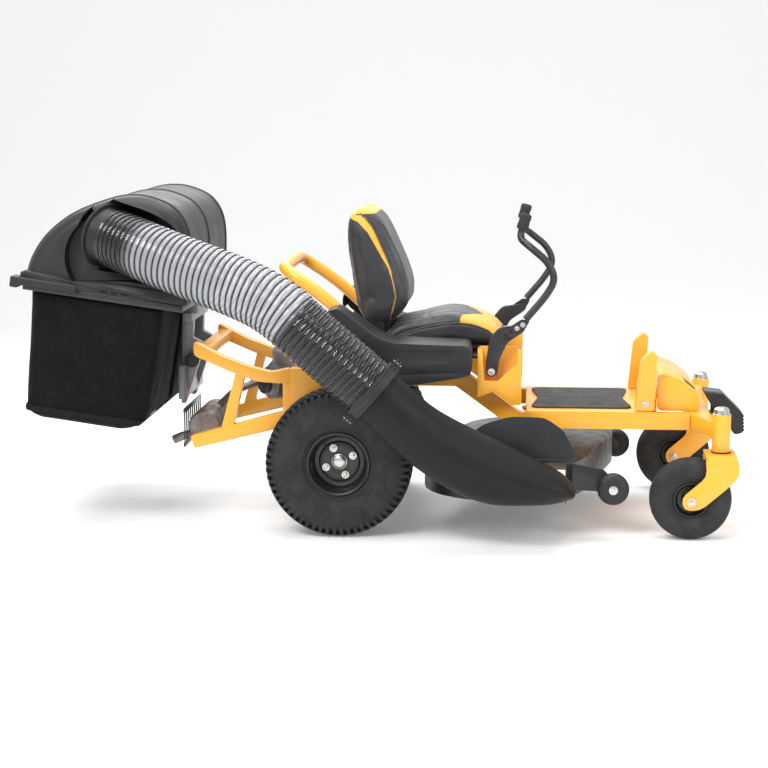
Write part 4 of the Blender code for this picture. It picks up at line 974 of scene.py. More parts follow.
def along(name, template, finish, count, start, step):
    """Copies in a straight row."""
    inputs = {"Count": count, "Start Location": Vector((0, 0, 0)), "Offset": Vector(step)}
    obj = repeated(name, template, finish, "GeometryNodeMeshLine", inputs, False)
    obj.data.transform(Matrix.Translation(start))
    return obj


def both_ways(half):
    """A wheel's section from its outer half, closed round its bore."""
    return [*half, *((radius, -along_axis) for radius, along_axis in half[::-1])]


def bolt_head(radius, height):
    """A hexagon head with a domed top and a washer under it."""
    bm = cylinder(Vector((0, 0, 0.0012)), Vector((0, 0, height)), radius, 6, radius * 0.93)
    washer = cylinder(Vector((0, 0, 0)), Vector((0, 0, 0.0014)), radius * 1.35, 24)
    crown = cylinder(Vector((0, 0, height)), Vector((0, 0, height + 0.0016)), radius * 0.78, 20, radius * 0.5)
    for other in (washer, crown):
        mesh = bpy.data.meshes.new("part")
        other.to_mesh(mesh)
        other.free()
        bm.from_mesh(mesh)
        bpy.data.meshes.remove(mesh)
    return bm


def bolted(name, place, axis, radius, height):
    """A plated bolt head here, facing along the axis."""
    turn = Vector(axis).to_track_quat("Z", "Y").to_matrix().to_4x4()
    return piece(name, moved(bolt_head(radius, height), Matrix.Translation(place) @ turn), plated)


plated = Finish("zinc_plated_steel", (0.62, 0.62, 0.60), 0.28, Metallic=1.0)
plated.set("Roughness", plated.stepped(plated.noise(90.0, 4.0), 0.3, 0.7, 0.20, 0.40))
plated.set("Base Color", plated.mix(plated.noise(50.0, 3.0), (0.66, 0.66, 0.64), (0.48, 0.47, 0.44)))
REAR_RADIUS = 0.254
REAR_HALF = [
    (0.2452, 0.0), (0.2448, 0.030), (0.2430, 0.052), (0.2385, 0.072), (0.2300, 0.086), (0.2170, 0.0945),
    (0.2000, 0.0990), (0.1820, 0.1000), (0.1640, 0.0985), (0.1480, 0.0945), (0.1355, 0.0895),
    (0.1300, 0.0880), (0.1275, 0.0895), (0.1250, 0.0890), (0.1235, 0.0860), (0.1170, 0.0815),
    (0.1090, 0.0780), (0.1045, 0.0770),
]
RIM_FACE = [
    (0.1032, 0.0600), (0.1040, 0.0760), (0.1060, 0.0800), (0.1090, 0.0822), (0.1095, 0.0850),
    (0.1075, 0.0868), (0.1040, 0.0862), (0.1005, 0.0830), (0.0985, 0.0770), (0.0975, 0.0560),
    (0.0935, 0.0500), (0.0905, 0.0440), (0.0890, 0.0300), (0.0850, 0.0225), (0.0780, 0.0195),
    (0.0720, 0.0195), (0.0690, 0.0240), (0.0660, 0.0255), (0.0340, 0.0255), (0.0300, 0.0235),
]
for side, sign in SIDES:
    hub, out = at(0, sign * 0.430, REAR_RADIUS), Vector((0, sign, 0))
    body = f"rear_wheel_{side}"
    tyre = lathed(f"turf_tyre_{side}", both_ways(REAR_HALF), hub, out, rubber, 30, steps=144, closed=True)
    fixed(tyre, "tyre_rubber", body, f"rear_tyre_{side}")
    for row, (place, width, count, phase) in enumerate(
        (
            (0.0, 0.026, 60, 0.0), (0.031, 0.024, 60, 0.5), (-0.031, 0.024, 60, 0.5), (0.060, 0.022, 60, 0.0),
            (-0.060, 0.022, 60, 0.0),
        )
    ):
        deep = REAR_RADIUS - 0.2400 - abs(place) * 0.030
        low = -0.0105
        block = box((low, deep - 0.0145), (-0.0088, 0.0088), (-width / 2, width / 2), 0.0016)
        turn = phase * math.tau / count
        blocks = around(
            f"tread_{side}_{row}", block, rubber, count, REAR_RADIUS, hub + out * place, out, turn
        )
        fixed(blocks, "tyre_rubber", body)
    for face, facing in (("outer", 1), ("inner", -1)):
        lug = skin(
            [
                [
                    Vector((-0.0075, w, 0.000)), Vector((-0.0075, w, -0.022)), Vector((-0.0300, w, -0.006)),
                    Vector((-0.0360, w, 0.0035)), Vector((-0.022, w, 0.0035)),
                ]
                for w in (-0.0058, 0.0058)
            ],
            caps=True,
        )
        lugs = around(
            f"shoulder_{side}_{face}", lug, rubber, 60, REAR_RADIUS, hub + out * facing * 0.090, out * facing,
            math.tau / 120,
        )
        fixed(lugs, "tyre_rubber", body)
    back = [
        (0.0300, 0.0190), (0.0650, 0.0190), (0.0830, 0.0150), (0.0860, -0.0700), (0.0990, -0.0820),
        (0.1075, -0.0868), (0.1095, -0.0850), (0.1032, -0.0760),
    ]
    rim = lathed(f"pressed_rim_{side}", [*RIM_FACE, *back], hub, out, black_paint, 35, steps=128, closed=True)
    fixed(rim, "black_paint", body, f"rear_rim_{side}")
    flange = piece(f"hub_flange_{side}", cylinder(hub + out * 0.012, hub + out * 0.0262, 0.0325), black_paint)
    cap = lathed(
        f"hub_cap_{side}",
        [
            (0, 0.0420), (0.010, 0.0416), (0.018, 0.0398), (0.0225, 0.0360), (0.0238, 0.0310),
            (0.0262, 0.0300), (0.0268, 0.0262), (0.0268, 0.0240),
        ],
        hub,
        out,
        plated,
        32,
    )
    nuts = around(
        f"wheel_nuts_{side}", bolt_head(0.0098, 0.0110), plated, 4, 0.0508, hub + out * 0.0255, out, 0.42
    )
    stem_axis = Vector((math.cos(2.2), 0, math.sin(2.2)))
    stem = piece(
        f"valve_{side}",
        cylinder(
            hub + out * 0.050 + stem_axis * 0.070, hub + out * 0.066 + stem_axis * 0.083, 0.0038, 16, 0.003
        ),
        rubber,
    )
    for obj, slot in (
        (flange, "black_paint"), (cap, "grey_steel"), (nuts, "grey_steel"), (stem, "tyre_rubber")
    ):
        fixed(obj, slot, body)

# ---- Casters -------------------------------------------------------------------------------------
# Smooth ribbed front tyres on small pressed rims, in the yellow forks. A bolt through each fork carries
# the wheel, and a plated cap closes the top of each swivel tube.
CASTER_HALF = [
    (0.1400, 0.0), (0.1400, 0.0050), (0.1378, 0.0066), (0.1378, 0.0084), (0.1396, 0.0100), (0.1390, 0.0215),
    (0.1368, 0.0230), (0.1366, 0.0250), (0.1380, 0.0268), (0.1340, 0.0370), (0.1270, 0.0445),
    (0.1160, 0.0492), (0.1030, 0.0508), (0.0900, 0.0500), (0.0780, 0.0470), (0.0700, 0.0430),
    (0.0665, 0.0435), (0.0640, 0.0420), (0.0600, 0.0390), (0.0555, 0.0380),
]
CASTER_RIM = [
    (0.0545, 0.0300), (0.0550, 0.0380), (0.0580, 0.0400), (0.0600, 0.0418), (0.0590, 0.0436),
    (0.0555, 0.0430), (0.0525, 0.0400), (0.0505, 0.0240), (0.0450, 0.0200), (0.0320, 0.0200),
    (0.0270, 0.0240), (0.0230, 0.0400), (0.0210, 0.0440), (0.0120, 0.0440),
]
for side, sign in SIDES:
    axle, out = at(1.205, sign * 0.438, 0.140), Vector((0, sign, 0))
    tyre = lathed(
        f"ribbed_tyre_{side}", both_ways(CASTER_HALF), axle, out, rubber, 28, steps=112, closed=True
    )
    fixed(tyre, "tyre_rubber", f"caster_wheel_{side}", f"caster_tyre_{side}")
    rim = lathed(
        f"caster_disc_{side}", both_ways(CASTER_RIM), axle, out, black_paint, 35, steps=96, closed=True
    )
    fixed(rim, "black_paint", f"caster_wheel_{side}", f"caster_rim_{side}")
    for face, facing in (("outer", 1), ("inner", -1)):
        end = axle + out * facing * 0.0735
        bolt = bolted(f"axle_bolt_{side}_{face}", end, out * facing, 0.0115, 0.0080)
        fixed(bolt, "grey_steel", f"caster_{side}")
    swivel = at(1.305, sign * 0.438, 0.431)
    cap = lathed(
        f"swivel_cap_{side}",
        [
            (0, 0.0262), (0.012, 0.0258), (0.020, 0.0235), (0.0255, 0.0180), (0.0272, 0.0040),
            (0.0310, 0.0026), (0.0315, 0.0),
        ],
        swivel,
        (0, 0, 1),
        plated,
        30,
    )
    seal = lathed(
        f"dust_seal_{side}",
        [(0.015, 0), (0.0335, 0), (0.0335, 0.004), (0.015, 0.004)],
        at(1.305, sign * 0.438, 0.3005),
        (0, 0, 1),
        rubber,
        30,
        closed=True,
    )
    for obj, slot in ((cap, "grey_steel"), (seal, "tyre_rubber")):
        fixed(obj, slot, "chassis")

# ---- Seat ----------------------------------------------------------------------------------------
# Foam pads in sewn vinyl: a crowned cushion and a high back, dark with a yellow trim panel along their
# front edges, piped at the seams. Pressure blows each cover out from a slightly small pattern before its
# seams are drawn in.
PAD_VOXEL = 0.0055
CUSHION_SIDE = [
    (0.164, 0.642), (0.164, 0.688), (0.250, 0.709), (0.369, 0.733), (0.478, 0.711), (0.541, 0.672),
    (0.531, 0.642),
]
BACK_SIDE = [
    (0.148, 0.706), (0.203, 0.748), (0.221, 0.792), (0.198, 0.898), (0.125, 1.056), (0.078, 1.108),
    (0.042, 1.112), (0.012, 1.080), (0.011, 0.960), (0.036, 0.803), (0.066, 0.712),
]
CUSHION_PIPING = [(0.170, 0.655), (0.250, 0.684), (0.369, 0.706), (0.455, 0.700), (0.545, 0.664)]
BACK_PIPING = [(0.160, 0.722), (0.180, 0.800), (0.160, 0.900), (0.098, 1.040), (0.060, 1.086), (0.030, 1.100)]
TRIM_COLOUR = (0.80, 0.38, 0.035)


def rounded_outline(points, per_span=7):
    """A closed smooth outline through the given corners."""
    loop = [Vector((x, 0, z)) for x, z in points]
    made = []
    count = len(loop)
    for i in range(count):
        a, b, c, d = loop[i - 1], loop[i], loop[(i + 1) % count], loop[(i + 2) % count]
        for step in range(per_span):
            t = step / per_span
            bend = (2 * a - 5 * b + 4 * c - d) * t**2 + (3 * b - a - 3 * c + d) * t**3
            made.append(0.5 * (2 * b + (c - a) * t + bend))
    return made


def pad(name, outline, half, crown, finish):
    """A closed pad from its side outline, rounding in at its two sides and fuller in the middle."""
    loop = rounded_outline(outline)
    centre = sum(loop, Vector()) / len(loop)
    rings = []
    for step in range(33):
        share = math.sin(math.pi / 2 * (step / 16 - 1))
        past = max(0.0, (abs(share) - 0.80) / 0.20)
        draw = 0.034 * (1 - math.sqrt(max(0.0, 1 - past**2)))
        ring = []
        for point in loop:
            out = point - centre
            full = crown * (1 - share**2) if out.z > 0 else 0.0
            out = out.normalized() * max(0.004, out.length - draw)
            ring.append(
                GROUND + centre + out + Vector(
                    (0, half * share, full * min(1, out.z / 0.03) if out.z > 0 else 0)
                )
            )
        rings.append(ring)
    return piece(name, skin(rings, caps=True), finish, 0)


def stuffed(obj, cap):
    """Blows the cover out by pressure, no point further than the cap, and smooths it."""
    even = obj.modifiers.new("even", "REMESH")
    even.mode = "VOXEL"
    even.voxel_size = PAD_VOXEL
    settled(obj)
    rest = [vertex.co.copy() for vertex in obj.data.vertices]
    cover = obj.modifiers.new("pressure", "CLOTH")
    cover.settings.use_pressure = True
    cover.settings.uniform_pressure_force = 4.0
    cover.settings.effector_weights.gravity = 0.0
    cover.settings.quality = 4
    cover.point_cache.frame_start, cover.point_cache.frame_end = 1, 20
    for step in range(1, 21):
        bpy.context.scene.frame_set(step)
    settled(obj)
    bpy.context.scene.frame_set(1)
    for vertex, place in zip(obj.data.vertices, rest):
        shift = vertex.co - place
        if shift.length > cap:
            vertex.co = place + shift.normalized() * cap
    finer = obj.modifiers.new("finer", "SUBSURF")
    finer.levels = finer.render_levels = 1
    settled(obj)
    obj.data.shade_smooth()
    return obj


def height_on(line, x):
    """Height of a side line at this distance forwards."""
    for (x0, z0), (x1, z1) in zip(line, line[1:]):
        if x <= x1:
            return z0 + (z1 - z0) * (x - x0) / (x1 - x0)
    return line[-1][1]


def reach_of(line, x, z):
    """Signed distance from a side line, positive in front of it."""
    best = None
    for (x0, z0), (x1, z1) in zip(line, line[1:]):
        along_line = Vector((x1 - x0, z1 - z0))
        share = min(1.0, max(0.0, Vector((x - x0, z - z0)).dot(along_line) / along_line.length_squared))
        gap = Vector((x, z)) - Vector((x0, z0)) - along_line * share
        side_of = along_line.x * (z - z0) - along_line.y * (x - x0)
        if best is None or gap.length < abs(best):
            best = gap.length if side_of < 0 else -gap.length
    return best


def sewn(obj, seam, trim, depth=0.0030, width=0.0055):
    """Draws the seams in, and marks how far each point is inside the trim panel."""
    mark = obj.data.attributes.new("trim", "FLOAT", "POINT")
    normals = [vertex.normal.copy() for vertex in obj.data.vertices]
    for vertex, normal in zip(obj.data.vertices, normals):
        local = vertex.co - GROUND
        mark.data[vertex.index].value = trim(local)
        vertex.co -= normal * depth * math.exp(-((seam(local) / width) ** 2))
    return obj


def piping(name, obj, line, finish, radius=0.0026):
    """A bead of piping laid on a cover along a line."""
    tree = BVHTree.FromPolygons([v.co for v in obj.data.vertices], [p.vertices for p in obj.data.polygons])
    path = [tree.find_nearest(point)[0] + tree.find_nearest(point)[1] * radius * 0.5 for point in line]
    rings = []
    for i, place in enumerate(path):
        on = (path[min(i + 1, len(path) - 1)] - path[max(i - 1, 0)]).normalized()
        aside = on.cross(Vector((0.2, 1, 0.1))).normalized()
        rings.append(circle(place, aside, on.cross(aside), radius, 10))
    return piece(name, skin(rings, caps=True), finish, 0)


trimmed = Finish("grained_vinyl_with_trim", VINYL, 0.48, Sheen_Weight=0.08)
inside = trimmed.add("ShaderNodeAttribute", {"attribute_name": "trim"}, output="Fac")
panel = trimmed.stepped(inside, -0.0004, 0.0004)
leather = trimmed.add(
    "ShaderNodeTexVoronoi", {"feature": "DISTANCE_TO_EDGE"}, Vector=trimmed.place(), Scale=420.0
)
rubbed = trimmed.stepped(trimmed.noise(9.0, 5.0, 0.6), 0.42, 0.72)
dark = trimmed.mix(rubbed * 0.5, VINYL, (0.052, 0.053, 0.057))
trimmed.set("Base Color", trimmed.mix(panel, dark, TRIM_COLOUR))
trimmed.set("Roughness", trimmed.stepped(trimmed.noise(14.0, 4.0), 0.3, 0.7, 0.40, 0.56))
trimmed.set(
    "Normal", trimmed.bump(leather, 0.0006, 0.6, under=trimmed.bump(trimmed.noise(16.0, 3.0), 0.003, 0.5))
)
bead = Finish("grey_piping", (0.060, 0.062, 0.066), 0.42)
bead.set("Roughness", bead.stepped(bead.noise(200.0, 2.0), 0.3, 0.7, 0.36, 0.52))
PAD_HALF = 0.199
cushion = stuffed(pad("seat_cushion_cover", CUSHION_SIDE, PAD_HALF, 0.004, trimmed), 0.006)


def cushion_trim(local):
    start = 0.405 + 0.42 * max(0.0, 0.190 - abs(local.y))
    return min(local.z - height_on(CUSHION_PIPING, local.x), (local.x - start) * 0.3, 0.03)


def cushion_seam(local):
    edge = local.z - height_on(CUSHION_PIPING, local.x)
    if local.z < 0.700:
        return edge
    channel = min(abs(abs(local.y) - 0.120), abs(local.x - 0.285) if abs(local.y) < 0.12 else 1.0)
    return min(abs(edge), channel)


sewn(cushion, cushion_seam, cushion_trim)
back = stuffed(pad("seat_back_cover", BACK_SIDE, PAD_HALF, 0.0, trimmed), 0.006)


def back_trim(local):
    front_of = reach_of(BACK_PIPING[::-1], local.x, local.z)
    width = 0.004 + 0.030 * max(0.0, (local.z - 0.86) / 0.26)
    side_of = abs(local.y) - 0.120 if local.z < 1.06 else 0.05
    return max(min(front_of, width - front_of, side_of), local.z - 1.092)


def back_seam(local):
    front_of = reach_of(BACK_PIPING[::-1], local.x, local.z)
    channel = 1.0
    if front_of > 0.012:
        channel = min(abs(abs(local.y) - 0.122), abs(local.z - 0.930) if abs(local.y) < 0.122 else 1.0)
    return min(abs(front_of), channel)


sewn(back, back_seam, back_trim)
for obj, node in ((cushion, "seat_cushion"), (back, "seat_back")):
    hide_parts(node)
    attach(obj, "seat")
for side, sign in SIDES:
    edge_line = [at(x, sign * (PAD_HALF - 0.004), z) for x, z in CUSHION_PIPING]
    rear_line = [at(x, sign * (PAD_HALF - 0.004), z) for x, z in BACK_PIPING]
    for name, obj, line in (("cushion", cushion, edge_line), ("back", back, rear_line)):
        line = evenly(smooth_path(line, 10), 0.006)
        beading = piping(f"{name}_piping_{side}", obj, line, bead)
        fixed(beading, "seat_vinyl", "seat")
front_line = [at(0.545 + 0.004, y, 0.664) for y in (-0.19, -0.1, 0.0, 0.1, 0.19)]
beading = piping("cushion_piping_front", cushion, evenly(smooth_path(front_line, 10), 0.006), bead)
bracket = piece(
    "back_bracket",
    moved(box((0.126, 0.154), (-0.120, 0.120), (0.640, 0.745), 0.003), ON_GROUND),
    black_paint,
)
fixed(beading, "seat_vinyl", "seat")
fixed(bracket, "black_paint", "seat")

# ---- Sheet metal edges ---------------------------------------------------------------------------
# Folded, sawn and welded steel has slightly rounded edges that catch the light, so the frame's, deck's
# and covers' pieces are shown with theirs.


def softened(node, finish, width=0.0016, *cutters):
    """The frame's own solid with any cutters taken out of it and its edges rounded over."""
    bm = bmesh.new()
    bm.from_mesh(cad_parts[node].data)
    bm.transform(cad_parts[node].matrix_world)
    bmesh.ops.remove_doubles(bm, verts=bm.verts, dist=2e-5)
    bmesh.ops.dissolve_limit(bm, angle_limit=math.radians(0.6), verts=bm.verts, edges=bm.edges)
    obj = piece(f"{node}_rounded", bm, finish, 0)
    if cutters:
        carved(obj, *cutters)
    edges = obj.modifiers.new("edges", "BEVEL")
    edges.width = width
    edges.segments = 2
    edges.limit_method = "ANGLE"
    edges.angle_limit = math.radians(34)
    settled(obj)
    shaded(obj, 33)
    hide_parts(node)
    return obj


chassis_yellow = [
    *both("frame_rail", "rear_guard", "upright", "console"),
    "front_beam",
    "rear_crossbar",
    "floor_pan",
    "front_cowl",
]
for node in chassis_yellow:
    fixed(softened(node, yellow), "yellow_paint", "chassis")
for side, sign in SIDES:
    fixed(softened(f"caster_fork_{side}", yellow, 0.002), "yellow_paint", f"caster_{side}")
    low, high = sorted((sign * 0.4678, sign * 0.4800))
    panel = [(0.214, 0.641), (0.396, 0.645), (0.374, 0.602), (0.252, 0.594)]
    recess = piece("panel", skin([[at(x, y, z) for x, z in panel] for y in (low, high)], caps=True), plastic)
    groove = [
        (0.060, 0.668), (0.195, 0.560), (0.400, 0.572), (0.450, 0.566), (0.450, 0.563), (0.400, 0.568),
        (0.194, 0.556), (0.058, 0.665),
    ]
    line = piece("groove", skin([[at(x, y, z) for x, z in groove] for y in (low, high)], caps=True), plastic)
    fixed(softened(f"fender_{side}", plastic, 0.003, recess, line), "black_plastic", "chassis")
fixed(softened("deck_shell", black_paint, 0.002), "black_paint", "deck")


def filleted(points, radius, steps=6):
    """A line through the points with its corners rounded."""
    made = [points[0]]
    for before, corner, after in zip(points, points[1:], points[2:]):
        into, away = (before - corner), (after - corner)
        reach = min(radius, into.length * 0.49, away.length * 0.49)
        start, end = corner + into.normalized() * reach, corner + away.normalized() * reach
        for step in range(steps + 1):
            t = step / steps
            made.append((1 - t) ** 2 * start + 2 * t * (1 - t) * corner + t**2 * end)
    return [*made, points[-1]]


def pipe(path, radius, sides=24):
    """A round bar along a path."""
    rings = []
    for i, place in enumerate(path):
        on = (path[min(i + 1, len(path) - 1)] - path[max(i - 1, 0)]).normalized()
        if not rings:
            aside = on.orthogonal().normalized()
        aside = (aside - on * aside.dot(on)).normalized()
        rings.append(circle(place, aside, on.cross(aside), radius, sides))
    return skin(rings, caps=True)


hoop = [
    at(0.120, -0.280, 0.5563), at(0.120, -0.280, 0.640), at(-0.085, -0.280, 0.819), at(-0.215, -0.270, 0.905),
    at(-0.215, 0.270, 0.905), at(-0.085, 0.280, 0.819), at(0.120, 0.280, 0.640), at(0.120, 0.280, 0.5563),
]
bar = piece("hoop_tube", pipe(filleted(hoop, 0.09, 10), 0.0215, 32), yellow, 50)
fixed(bar, "yellow_paint", "chassis", "seat_hoop")

# ---- Steering levers -----------------------------------------------------------------------------
# Each lever is a pivoting plate and a bent 25 mm bar, joined by an arm with four holes and two bolts, so
# that the bar can be set for the driver. A moulded foam grip is pushed over its end.
LEVER_Y = 0.34215
foam = Finish("grip_foam", (0.030, 0.030, 0.032), 0.85, Specular_IOR_Level=0.3)
foam.set("Roughness", foam.stepped(foam.noise(120.0, 3.0), 0.3, 0.7, 0.74, 0.92))
foam.set(
    "Normal",
    foam.bump(
        foam.add("ShaderNodeTexVoronoi", {"feature": "F1"}, Vector=foam.place(), Scale=900.0), 0.0005, 0.7
    ),
)
HOLES = (0.08, 0.34, 0.62, 0.90)
for side, sign in SIDES:
    y = sign * LEVER_Y
    fixed(softened(f"lever_bracket_{side}", black_paint, 0.002), "black_paint", f"lever_{side}")
    outer = y + sign * 0.0085
    arm_outline = filleted(
        [
            Vector((x, 0, z))
            for x, z in (
                (0.594, 0.678), (0.556, 0.678), (0.549, 0.692), (0.622, 0.742), (0.652, 0.738),
                (0.630, 0.700), (0.596, 0.679),
            )
        ],
        0.010,
        5,
    )
    arm = piece(
        f"lap_arm_{side}",
        skin(
            [[at(p.x, outer + sign * depth, p.z) for p in arm_outline] for depth in (0.0, 0.0075)], caps=True
        ),
        black_paint,
        40,
    )
    spots = [Vector((0.562, 0, 0.683)).lerp(Vector((0.634, 0, 0.727)), share) for share in HOLES]
    carved(
        arm,
        *(
            piece(
                "hole",
                cylinder(at(p.x, outer - sign * 0.02, p.z), at(p.x, outer + sign * 0.03, p.z), 0.0047, 24),
                plastic,
            )
            for p in spots[:2]
        ),
    )
    shaded(arm, 35)
    inner = y + sign * 0.0215
    swing = sign * 0.060
    path = [
        at(0.636, inner, 0.742), at(0.704, inner, 0.822), at(0.738, inner, 0.880), at(0.712, inner, 0.940),
        at(0.640, inner - swing * 0.3, 0.998), at(0.612, inner - swing, 1.018),
        at(0.634, inner - swing, 1.096),
    ]
    lap = piece(f"lap_tube_{side}", pipe(filleted(path, 0.034, 8), 0.0125, 28), black_paint, 50)
    fixed(arm, "black_paint", f"lap_{side}")
    fixed(lap, "black_paint", f"lap_{side}", f"lap_bar_{side}")
    start = path[-2].lerp(path[-1], 0.38)
    on = (path[-1] - start).normalized()
    length = (path[-1] - start).length + 0.006
    grip = lathed(
        f"foam_grip_{side}",
        [
            (0.0132, 0), (0.0180, 0), (0.0205, 0.004), (0.0205, length * 0.30), (0.0192, length * 0.5),
            (0.0205, length * 0.72), (0.0203, length - 0.006), (0.0160, length - 0.001), (0, length),
        ],
        start,
        on,
        foam,
        50,
        steps=48,
    )
    fixed(grip, "soft_rubber", f"lap_{side}", f"grip_{side}")
    out = Vector((0, sign, 0))
    for number, p in enumerate(spots[2:]):
        place = at(p.x, outer + sign * 0.0075, p.z)
        head = bolted(f"arm_bolt_{side}_{number}", place, out, 0.0065, 0.0048)
        fixed(head, "grey_steel", f"lap_{side}")
    pin = bolted(f"lever_pin_{side}", at(0.520, y + sign * 0.0300, 0.560), out, 0.0090, 0.0060)
    fixed(pin, "grey_steel", f"lever_{side}")
    upright_bolt = bolted(f"upright_bolt_{side}", at(1.056, sign * 0.290, 0.440), out, 0.0085, 0.0055)
    fixed(upright_bolt, "grey_steel", "chassis")

# ---- Foot well and pedal -------------------------------------------------------------------------
# A ribbed rubber mat, waisted in the middle, lies in the pan. The deck lift pedal has a grey non-slip top
# plate and moulded ribs down its front.
MAT_TOP = 0.4196
mat_grey = Finish("mat_rubber", (0.034, 0.035, 0.037), 0.78, Specular_IOR_Level=0.35)
mat_grey.set("Roughness", mat_grey.stepped(mat_grey.noise(22.0, 5.0), 0.3, 0.7, 0.64, 0.86))
mat_grey.set(
    "Base Color", mat_grey.mix(mat_grey.noise(14.0, 6.0, 0.65), (0.026, 0.027, 0.029), (0.058, 0.058, 0.058))
)
mat_grey.set("Normal", mat_grey.bump(mat_grey.noise(900.0, 2.0), 0.0003, 0.6))
outline = [(0.655, -0.235), (1.015, -0.235), (0.985, 0.0), (1.015, 0.235), (0.655, 0.235), (0.685, 0.0)]
loop = filleted(
    [Vector((x, y, 0)) for x, y in [(0.835, -0.235), *outline[1:], outline[0], (0.834, -0.235)]], 0.045, 8
)[:-1]
mat = piece(
    "rubber_mat",
    skin([[at(p.x, p.y, MAT_TOP - 0.006 + rise) for p in loop] for rise in (0.0, 0.0052, 0.006)], caps=True),
    mat_grey,
    40,
)
ribs = along(
    "mat_ribs",
    box((-0.0035, 0.0035), (-0.185, 0.185), (-0.0004, 0.0013), 0.0006),
    mat_grey,
    22,
    at(0.702, 0, MAT_TOP),
    (0.0128, 0, 0),
)
fixed(mat, "soft_rubber", "chassis", "foot_mat")
fixed(ribs, "soft_rubber", "chassis")
PEDAL_Y = -0.150
pedal = softened("lift_pedal", plastic, 0.003)
cover_line = [(1.268, 0.4745), (1.329, 0.4670), (1.3985, 0.3985)]
rings = []
for y in (-0.052, 0.052):
    top = [at(x, PEDAL_Y + y, z + 0.0026) for x, z in cover_line]
    rings.append([*top, *(at(x - 0.001, PEDAL_Y + y, z - 0.001) for x, z in cover_line[::-1])])
grey = moulded("moulded_grey_plastic", (0.085, 0.087, 0.090), 1.2, 0.55)
plate = piece("pedal_plate", skin(rings, caps=True), grey, 30)
treads = along(
    "pedal_ribs",
    box((-0.0010, 0.0036), (-0.054, 0.054), (-0.0026, 0.0026), 0.0012),
    plastic,
    5,
    at(1.4045, PEDAL_Y, 0.338),
    (-0.0006, 0, 0.0125),
)
for obj in (pedal, plate, treads):
    fixed(obj, "black_paint", "pedal")

# ---- Deck and rollers ----------------------------------------------------------------------------
# Anti-scalp rollers with bright axle bolts hang from the deck's front, and a domed flap guards its side
# outlet. Six bolts hold each spindle housing down.
for side, spot, sign in (("right", (0.941, -0.462, 0.172), -1), ("left", (0.985, 0.462, 0.172), 1)):
    profile = [
        (0.0095, -0.028), (0.034, -0.028), (0.043, -0.0255), (0.0495, -0.021), (0.054, -0.012), (0.055, 0.0)
    ]
    profile += [(radius, -across) for radius, across in profile[-2::-1]]
    roller = lathed(f"roller_{side}", profile, at(*spot), (0, sign, 0), plastic, 40, steps=72, closed=True)
    fixed(roller, "black_plastic", f"roller_{side}", f"antiscalp_wheel_{side}")
    hub = lathed(
        f"roller_hub_{side}",
        [
            (0, 0.0345), (0.0085, 0.0345), (0.0090, 0.0300), (0.0150, 0.0295), (0.0155, 0.0275),
            (0.0100, 0.0270), (0.0, 0.0270),
        ],
        at(*spot),
        (0, sign, 0),
        plated,
        30,
        steps=40,
    )
    fixed(hub, "grey_steel", f"roller_{side}")
fixed(softened("chute_deflector", plastic, 0.003), "black_plastic", "deflector")
for side, x, sign in (("right", 0.570, -1), ("left", 0.680, 1)):
    bolts = around(
        f"spindle_bolts_{side}", bolt_head(0.0070, 0.0050), plated, 6, 0.0395, at(x, sign * 0.262, 0.2622),
        (0, 0, 1),
    )
    cover = turned(
        [(0.0, 0.3475), (0.020, 0.3470), (0.024, 0.3440), (0.024, 0.3405), (0.0, 0.3405)][::-1],
        at(x, sign * 0.262, 0),
        (0, 0, 1),
        48,
    )
    nut = piece(f"pulley_nut_{side}", cover, plated, 30)
    for obj, body in ((bolts, "deck"), (nut, f"blade_drive_{side}")):
        fixed(obj, "grey_steel", body)

# ---- Engine and muffler --------------------------------------------------------------------------
# A V-twin with a vertical shaft: cast crankcase, finned cylinders, a spin-on filter and a pressed blower
# housing with a ring of screen vanes. The drum muffler hangs behind it with a slotted guard of black
# flats behind the drum.
filter_white = Finish("filter_enamel", (0.62, 0.63, 0.63), 0.32, Coat_Weight=0.4)
filter_white.set("Roughness", filter_white.stepped(filter_white.noise(18.0, 4.0), 0.3, 0.7, 0.25, 0.45))
fixed(softened("engine", cast, 0.002), "grey_steel", "chassis")
fixed(softened("muffler", hot, 0.002), "grey_steel", "chassis")
for side, sign in SIDES:
    out = Vector((-0.72, sign * 0.60, 0)).normalized()
    fins = along(
        f"cooling_fins_{side}",
        cylinder(Vector(), out * 0.0018, 0.0600, 56),
        cast,
        11,
        at(-0.130, 0, 0.480) + out * 0.118,
        out * 0.0078,
    )
    cover = lathed(
        f"rocker_cover_{side}",
        [(0.0, 0.017), (0.030, 0.017), (0.038, 0.014), (0.042, 0.006), (0.0425, 0.0), (0.0, 0.0)],
        at(-0.130, 0, 0.480) + out * 0.2150,
        out,
        black_paint,
        35,
        steps=48,
    )
    for obj in (fins, cover):
        fixed(obj, "grey_steel", "chassis")
oil_filter = lathed(
    "oil_filter",
    [
        (0.0, 0.0), (0.030, 0.0), (0.0335, 0.003), (0.0335, 0.060), (0.0320, 0.068), (0.0240, 0.076),
        (0.0, 0.078),
    ],
    at(-0.040, -0.118, 0.470),
    (0.25, -1, 0),
    filter_white,
    35,
)
fixed(oil_filter, "grey_steel", "chassis")
vanes = around(
    "screen_vanes",
    box((-0.030, 0.030), (-0.0016, 0.0016), (0, 0.009), 0.0008),
    plastic,
    36,
    0.105,
    at(-0.130, 0, 0.6252),
    (0, 0, 1),
)
fixed(vanes, "black_plastic", "chassis")
GUARD_X = -0.588
flat = box((-0.0022, 0.0022), (-0.0045, 0.0045), (-0.062, 0.062), 0.001)
bars = along("guard_bars", flat, black_paint, 9, at(GUARD_X, -0.170, 0.318), (0, 0.0425, 0))
fixed(bars, "black_paint", "chassis")
